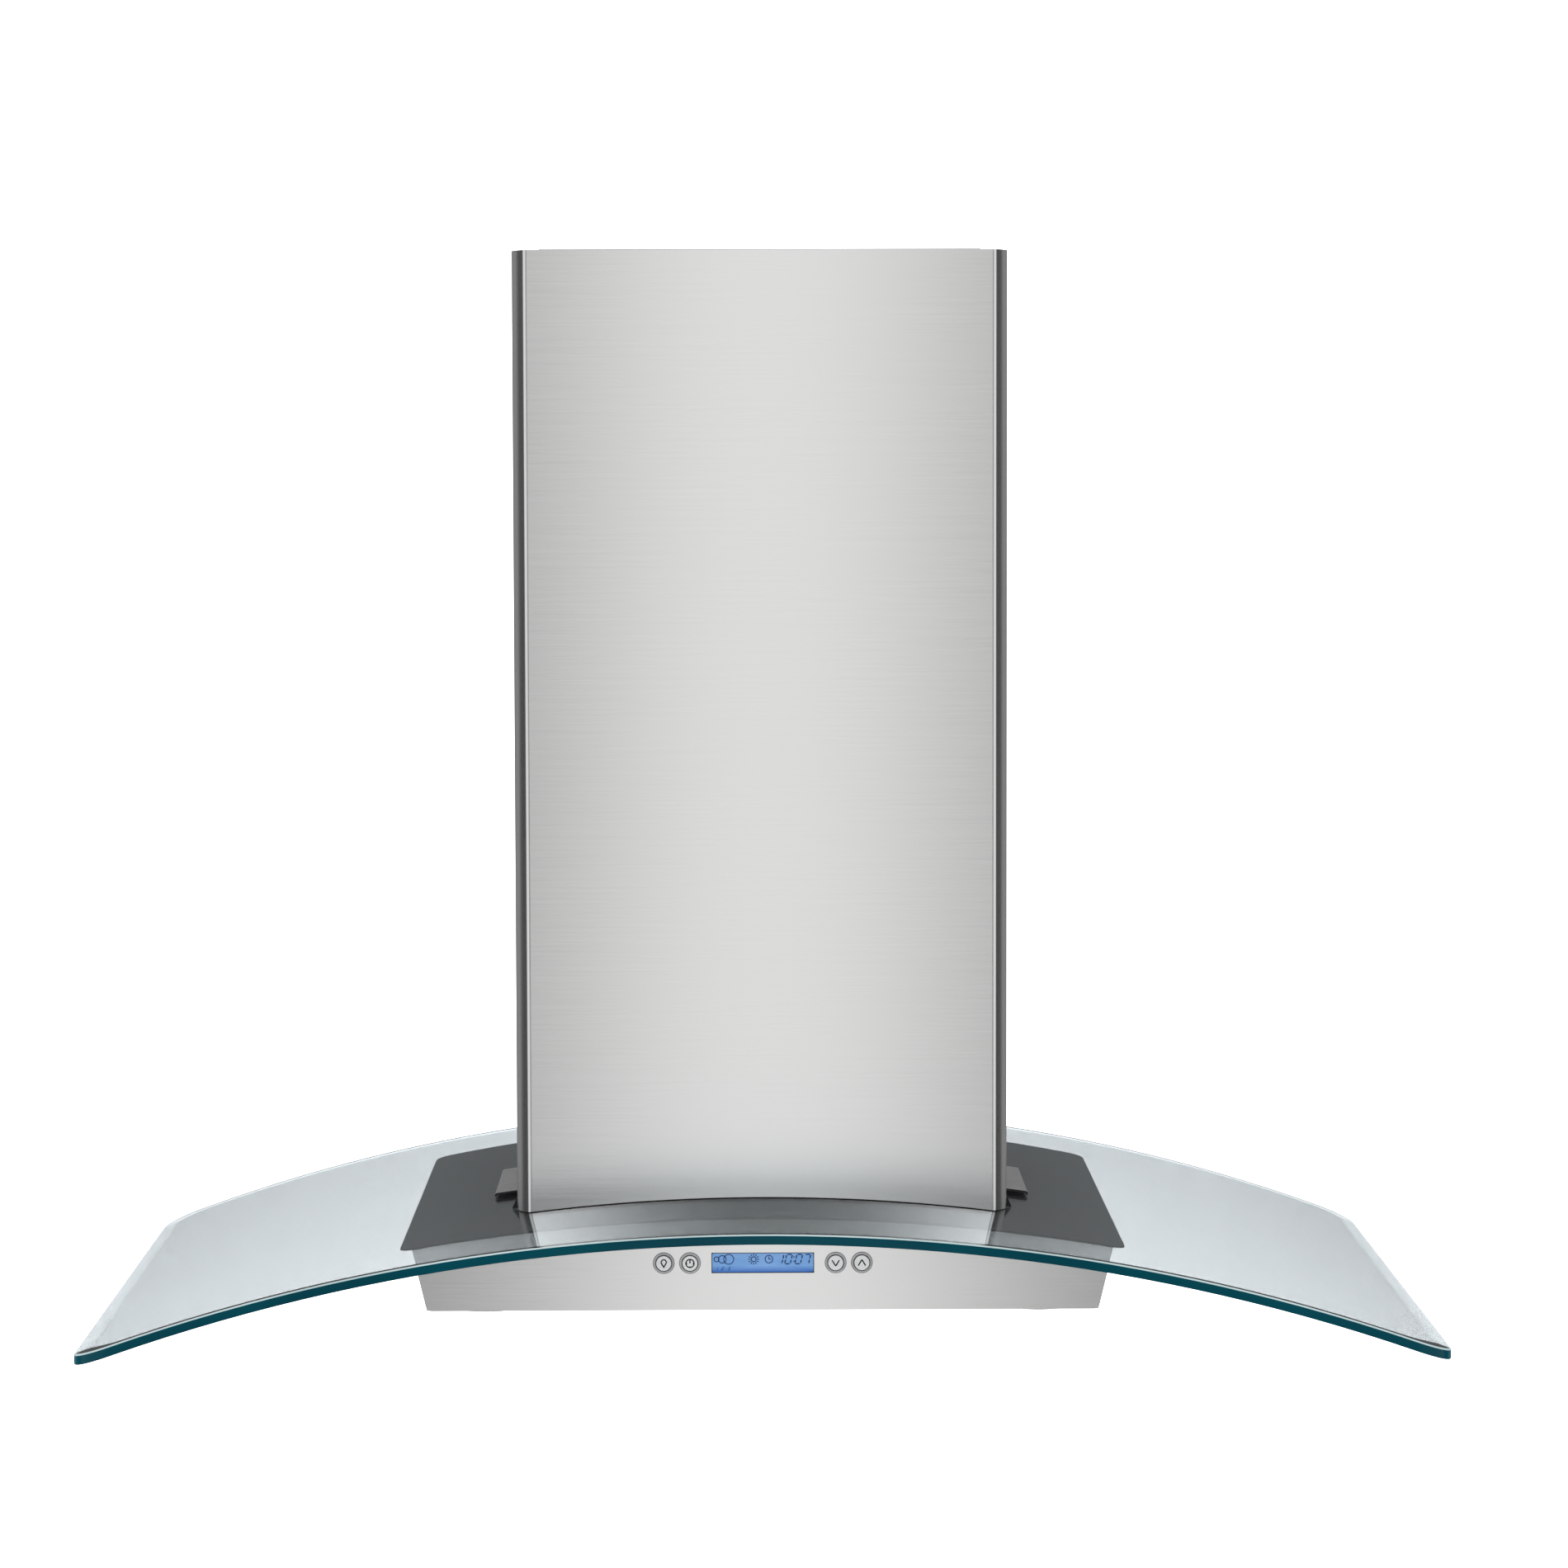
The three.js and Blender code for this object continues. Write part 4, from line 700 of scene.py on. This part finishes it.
def seven_segment(digit, x, z, width, height, y, ink):
    """One digit from seven bars; each bar is a stroke between two corners of a slanted figure of eight."""
    half = height / 2
    lean = 0.12 * height
    gap = 0.12 * width

    def at(col, row):
        return np.array([x + col * width + row * lean, z + row * half])

    ends = {
        "a": (at(0, 1), at(1, 1)),
        "b": (at(1, 0), at(1, 1)),
        "c": (at(1, -1), at(1, 0)),
        "d": (at(0, -1), at(1, -1)),
        "e": (at(0, -1), at(0, 0)),
        "f": (at(0, 0), at(0, 1)),
        "g": (at(0, 0), at(1, 0)),
    }
    bars = []
    for key in SEGMENTS[digit]:
        start, stop = ends[key]
        along = (stop - start) / np.linalg.norm(stop - start)
        bars.append(stroke(line(start + along * gap, stop - along * gap), ink, y))
    return joined(*bars)


def display():
    """The window, with its liquid-crystal marks just in front: fan speeds, a lamp, a clock and the time."""
    low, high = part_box("lcd_window")
    middle = (low.z + high.z) / 2
    corner = 1.5 * MM
    loops = []
    for inset, y in ((0.5, 0), (0.15, 0.1), (0, 0.4), (0, 2)):
        i = inset * MM
        loop = plan_loop(high.x - low.x - 2 * i, high.z - low.z - 2 * i, 0, corner - i, 12, 8)
        loops.append(np.stack([loop[:, 0], np.full(len(loop), low.y + y * MM), middle + loop[:, 1]], axis=-1))
    centre_front = np.broadcast_to([0, low.y, middle], loops[0].shape)
    centre_back = np.broadcast_to([0, high.y, middle], loops[0].shape)
    body = skin(np.array([centre_front, *loops, centre_back]), wrap_columns=True)
    piece("display_window", [(*body, DISPLAY)], "hood", ["lcd_window"])

    y = low.y - 0.06 * MM
    thin, bold = 0.7 * MM, 0.95 * MM
    upper, lower = middle + 2.8 * MM, middle - 4.6 * MM
    marks = []
    for digit, x, radius in (("1", -36.4, 1.9), ("2", -31.8, 3.0), ("3", -26.8, 3.9)):
        marks.append(stroke(arc(x * MM, upper, radius * MM), thin, y, closed=True))
        marks.append(seven_segment(digit, (x - 0.4) * MM, lower, 1.2 * MM, 2.4 * MM, y, 0.4 * MM))
    sun = np.array([-7.2 * MM, upper])
    marks.append(stroke(arc(*sun, 1.9 * MM), thin, y, closed=True))
    for angle in np.radians(np.arange(0, 360, 30)):
        way = np.array([math.cos(angle), math.sin(angle)])
        marks.append(stroke(line(sun + 2.7 * MM * way, sun + 4.4 * MM * way), thin, y))
    clock = np.array([4.8 * MM, upper])
    marks.append(stroke(arc(*clock, 3.0 * MM), thin, y, closed=True))
    marks.append(stroke(line(clock + (0, 2.1 * MM), clock), thin, y))
    marks.append(stroke(line(clock, clock + (1.8 * MM, 0)), thin, y))
    for digit, x in (("1", 11.4), ("0", 18.0), ("0", 26.0), ("7", 32.4)):
        marks.append(seven_segment(digit, x * MM, upper, 4.4 * MM, 7.4 * MM, y, bold))
    for rise in (-1.7 * MM, 1.7 * MM):
        dot = upper + rise
        marks.append(stroke(line((24.3 * MM, dot - 0.35 * MM), (24.3 * MM, dot + 0.35 * MM)), 1.1 * MM, y))
    piece("display_marks", [(*joined(*marks), NAVY_INK)], "hood")

    loop = plan_loop(high.x - low.x + 0.1 * MM, high.z - low.z + 0.1 * MM, 0, corner, 12, 8)
    edge = stroke(loop + [0, middle], 0.7 * MM, low.y - 0.1 * MM, 0.3 * MM, closed=True)
    piece("window_gasket", [(*edge, PRINT_AND_SHADOW_BLACK)], "hood")


# ---------------------------------------------------------------- lamps and filters

CORNERS = ("front_left", "front_right", "rear_left", "rear_right")


def lamps():
    """Each lamp is a turned can with a rounded rim, and a frosted lens with three steps in it."""
    for place in CORNERS:
        low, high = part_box(f"lamp_can_{place}")
        centre = ((low.x + high.x) / 2, (low.y + high.y) / 2, 0)
        rim = (high.x - low.x) / 2
        bore, wall = 24.3 * MM, 29 * MM
        a = np.linspace(0, math.pi / 2, 6)
        lip = np.stack([rim - 1.4 * MM + 1.4 * MM * np.sin(a), low.z + 1.4 * MM * (1 - np.cos(a))], axis=-1)
        step = low.z + 2 * MM
        profile = [(bore, low.z), *lip, (rim, step), (wall, step), (wall, high.z), (0, high.z)]
        ceiling, cavity = high.z - 1.5 * MM, 27.5 * MM
        inside = [(0, ceiling), (cavity, ceiling), (cavity, step + 4 * MM), (bore, step + 3.4 * MM)]
        points, _ = lathe(profile + inside + [(bore, low.z)], centre, "Z", 64)
        surface = skin(points.reshape(-1, 64, 3), wrap_columns=True)
        piece(f"lamp_housing_{place}", [(*surface, ALUMINIUM)], "hood", [f"lamp_can_{place}"])
        lens_low, lens_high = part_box(f"lamp_lens_{place}")
        radius = (lens_high.x - lens_low.x) / 2
        r = np.linspace(0, radius, 50)
        ripple = 0.25 * MM * (0.5 - 0.5 * np.cos(r / radius * 6 * np.pi))
        under = np.stack([r, lens_low.z + ripple], axis=-1)
        lens = lathe(np.concatenate([under, [(radius, lens_high.z), (0, lens_high.z)]]), centre, "Z", 64)
        piece(f"lamp_glass_{place}", [(*lens, LENS)], "hood", [f"lamp_lens_{place}"])


def filters():
    """Expanded aluminium: a sheet pressed into diamonds, height = |sin u| times |sin v| of the diagonals."""
    for side in ("left", "right"):
        low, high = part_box(f"filter_mesh_{side}")
        pitch = 7 * MM
        x = np.linspace(low.x, high.x, 200)
        y = np.linspace(low.y, high.y, 260)
        x, y = np.meshgrid(x, y)
        u, v = np.pi * (x + 0.55 * y) / pitch, np.pi * (x - 0.55 * y) / pitch
        wave = np.abs(np.sin(u) * np.sin(v))
        under = np.stack([x, y, low.z + (high.z - low.z) * 0.75 * wave], axis=-1)
        upper = np.stack([x, y, np.full_like(x, high.z)], axis=-1)
        piece(f"filter_pack_{side}", [(*shell(under, upper), ALUMINIUM)], f"filter_{side}",
              [f"filter_mesh_{side}"], crease=60, across="Y")


# ---------------------------------------------------------------- pieces kept from the frame

KEPT = {
    STEEL_FLAT: ["control_panel", "rear_panel", "side_panel_left", "side_panel_right"],
    STEEL_PAN: ["bottom_pan"],
    RUBBER: ["glass_gasket", "chimney_seal_left", "chimney_seal_right"],
    ZINC: [
        "ceiling_bracket", "blower_box", "blower_motor", "motor_bracket", "duct_collar", "junction_box",
        "junction_box_cover",
        *(f"{level}_post_{place}" for level in ("upper", "lower") for place in CORNERS),
    ],
    ALUMINIUM: [
        "button_bezel_left", "button_bezel_right", "filter_frame_left", "filter_frame_right",
        "damper_flap_left", "damper_flap_right", "motor_capacitor",
    ],
    BLACK_PLASTIC: [
        "lcd_module", "blower_scroll_left", "blower_scroll_right", "impeller", "filter_latch_left",
        "filter_latch_right",
    ],
    BOARD: ["control_board"],
}


def dress_kept():
    for finish_used, names in KEPT.items():
        for name in names:
            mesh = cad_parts[name].data
            mesh.materials.clear()
            mesh.materials.append(finish_used)


# ---------------------------------------------------------------- studio

LENS_MM = 113.1
EYE = Vector((-0.0189, -4.0786, CROWN + 0.6142))
PITCH, YAW, ROLL = 0.0721, -0.0095, -0.0023


def camera():
    """Looks along +Y, then is pitched down, yawed and rolled by the angles above."""
    turn = Matrix.Rotation(YAW, 3, "Z") @ Matrix.Rotation(-PITCH, 3, "X")
    right = turn @ Vector((1, 0, ROLL))
    up = turn @ Vector((-ROLL, 0, 1))
    back = turn @ Vector((0, -1, 0))
    made = bpy.data.cameras.new("camera")
    made.lens = LENS_MM
    made.sensor_width = 36
    made.clip_end = 100
    obj = bpy.data.objects.new("camera", made)
    basis = Matrix((right.normalized(), up.normalized(), back.normalized())).transposed().to_4x4()
    obj.matrix_world = Matrix.Translation(EYE) @ basis
    bpy.context.scene.collection.objects.link(obj)
    bpy.context.scene.camera = obj


def softbox(name, place, target, width, height, power):
    made = bpy.data.lights.new(name, "AREA")
    made.shape = "RECTANGLE"
    made.size, made.size_y, made.energy = width, height, power
    obj = bpy.data.objects.new(name, made)
    obj.location = place
    obj.rotation_euler = (Vector(target) - Vector(place)).to_track_quat("-Z", "Y").to_euler()
    obj.visible_camera = False
    obj.visible_glossy = obj.visible_transmission = False
    bpy.context.scene.collection.objects.link(obj)


WAIST_ANGLE = 8  # the strip narrows at the horizon, within this many degrees of the front


def surroundings():
    """White to the eye, straight or through glass. Metal mirrors a studio that changes round the horizon.

    From front to rear there are a narrow bright strip, two broad soft boxes at the front's sides, darkness
    behind them and a dim rear; above is a large soft box and below a white floor. Blurred bounces after the
    second see the strip's place dark, so what the canopy mirrors of the chimney darkens in the middle.
    """
    world = bpy.data.worlds.new("studio")
    bpy.context.scene.world = world
    world.use_nodes = True
    tree = world.node_tree
    direction = add(tree, "SeparateXYZ", {"Vector": add(tree, "TexCoord").outputs["Generated"]})
    x, y, z = direction.outputs
    aside = add(tree, "Math", {0: x, 1: 0.006}, operation="SUBTRACT").outputs[0]
    aside = add(tree, "Math", {0: aside}, operation="ABSOLUTE").outputs[0]
    ahead = add(tree, "Math", {0: y, 1: -1.0}, operation="MULTIPLY").outputs[0]
    turned = add(tree, "Math", {0: aside, 1: ahead}, operation="ARCTAN2").outputs[0]
    share = add(tree, "MapRange", {"Value": turned, "To Max": 1.0, "From Max": math.pi}).outputs["Result"]
    level_with = add(tree, "Math", {0: z, 1: 0.05}, operation="ADD").outputs[0]
    level_with = add(tree, "Math", {0: level_with}, operation="ABSOLUTE").outputs[0]
    waist = add(tree, "MapRange", {"Value": level_with, "From Max": 0.13, "To Min": 1.35, "To Max": 1.0})
    narrow = add(tree, "Math", {0: share, 1: waist.outputs[0]}, operation="MULTIPLY").outputs[0]
    near = add(tree, "Math", {0: share, 1: WAIST_ANGLE / 180}, operation="LESS_THAN").outputs[0]
    share = add(tree, "Mix", {"Factor": near, 2: share, 3: narrow}).outputs[0]

    def around(stops):
        """Brightness by angle from the front, in degrees."""
        ramp = add(tree, "ValToRGB", {"Fac": share})
        ramp.color_ramp.interpolation = "EASE"
        elements = ramp.color_ramp.elements
        while len(elements) < len(stops):
            elements.new(0.5)
        for element, (angle, value) in zip(elements, stops):
            element.position = angle / 180
            element.color = (value, value, value, 1)
        return ramp.outputs["Color"]

    sides = [(11, 0.4), (24, 0.5), (40, 0.9), (96, 0.85)]
    sides += [(112, 0.03), (124, 0.05), (140, 0.24), (166, 0.2), (180, 0.1)]
    strip = around([(0, 1.35), (1.3, 1.2), (3.6, 0.4), (5.5, 0.1)] + sides)
    echo = around([(0, 0.0), (3.2, 0.0), (5.6, 3.0), (7, 1.8)] + sides)
    level = strip
    for start, full, grey in ((0.14, 0.5, 0.85), (-0.3, -0.8, 0.5)):  # above, then below
        reach = {"Value": z, "From Min": start, "From Max": full}
        steep = add(tree, "MapRange", reach, interpolation_type="SMOOTHSTEP").outputs[0]
        ends = {"Factor": steep, 6: level, 7: (grey, grey, grey, 1)}
        level = add(tree, "Mix", ends, data_type="RGBA").outputs[2]
    path = add(tree, "LightPath").outputs
    deep = add(tree, "Math", {0: path["Ray Depth"], 1: 2.5}, operation="GREATER_THAN").outputs[0]
    blurred = add(tree, "Math", {0: deep, 1: path["Is Singular Ray"]}, operation="SUBTRACT", use_clamp=True)
    level = add(tree, "Mix", {"Factor": blurred.outputs[0], 6: level, 7: echo}, data_type="RGBA").outputs[2]
    studio = add(tree, "Background", {"Color": level, "Strength": 1.0})
    white = add(tree, "Background", {"Color": (1, 1, 1, 1), "Strength": 2.35})
    depths = {0: path["Diffuse Depth"], 1: path["Glossy Depth"]}
    bounces = add(tree, "Math", depths, operation="ADD").outputs[0]
    straight = add(tree, "Math", {0: bounces, 1: 0.5}, operation="LESS_THAN").outputs[0]
    mixed = add(tree, "MixShader", {0: straight, 1: studio.outputs[0], 2: white.outputs[0]})
    tree.links.new(mixed.outputs[0], tree.nodes["World Output"].inputs["Surface"])


def floor():
    """A pale disc under the hood that fades out towards its rim, and is clear from below."""
    made, tree, shader = finish("pale_floor", Base_Color=(0.86, 0.86, 0.86, 1), Roughness=0.8)
    place = add(tree, "TexCoord").outputs["Object"]
    distance = add(tree, "VectorMath", {0: place}, operation="LENGTH").outputs["Value"]
    fade = {"Value": distance, "From Min": 0.9, "From Max": 2.4}
    edge = add(tree, "MapRange", fade, interpolation_type="SMOOTHSTEP").outputs["Result"]
    clear = add(tree, "BsdfTransparent").outputs[0]
    below = add(tree, "NewGeometry").outputs["Backfacing"]
    hidden = add(tree, "Math", {0: edge, 1: below}, operation="MAXIMUM").outputs[0]
    mixed = add(tree, "MixShader", {0: hidden, 1: shader.outputs[0], 2: clear}).outputs[0]
    tree.links.new(mixed, tree.nodes["Material Output"].inputs["Surface"])
    mesh = bpy.data.meshes.new("floor")
    angle = np.linspace(0, 2 * np.pi, 64, endpoint=False)
    rim = np.stack([2.5 * np.cos(angle), 2.5 * np.sin(angle), 0 * angle], axis=-1)
    mesh.from_pydata(rim.tolist(), [], [list(range(64))])
    mesh.materials.append(made)
    obj = bpy.data.objects.new("floor", mesh)
    obj.location.z = glass_low.z - 0.9
    bpy.context.scene.collection.objects.link(obj)


camera()
surroundings()
floor()
softbox("top", (0, -0.6, 1.6), (0, 0, CROWN), 2.6, 2.0, 16)
softbox("left_fill", (-2.6, -3.2, CROWN + 0.8), (0, 0, CROWN), 1.4, 1.6, 12)
softbox("right_fill", (2.6, -3.2, CROWN + 0.8), (0, 0, CROWN), 1.4, 1.6, 12)
softbox("rear_fill", (0.6, 3.6, CROWN + 1.0), (0, 0, CROWN + 0.3), 1.6, 2.0, 10)
bpy.context.scene.view_settings.view_transform = "Standard"

chimney()
glass()
plate_and_neck()
clamps()
buttons()
display()
lamps()
filters()
dress_kept()
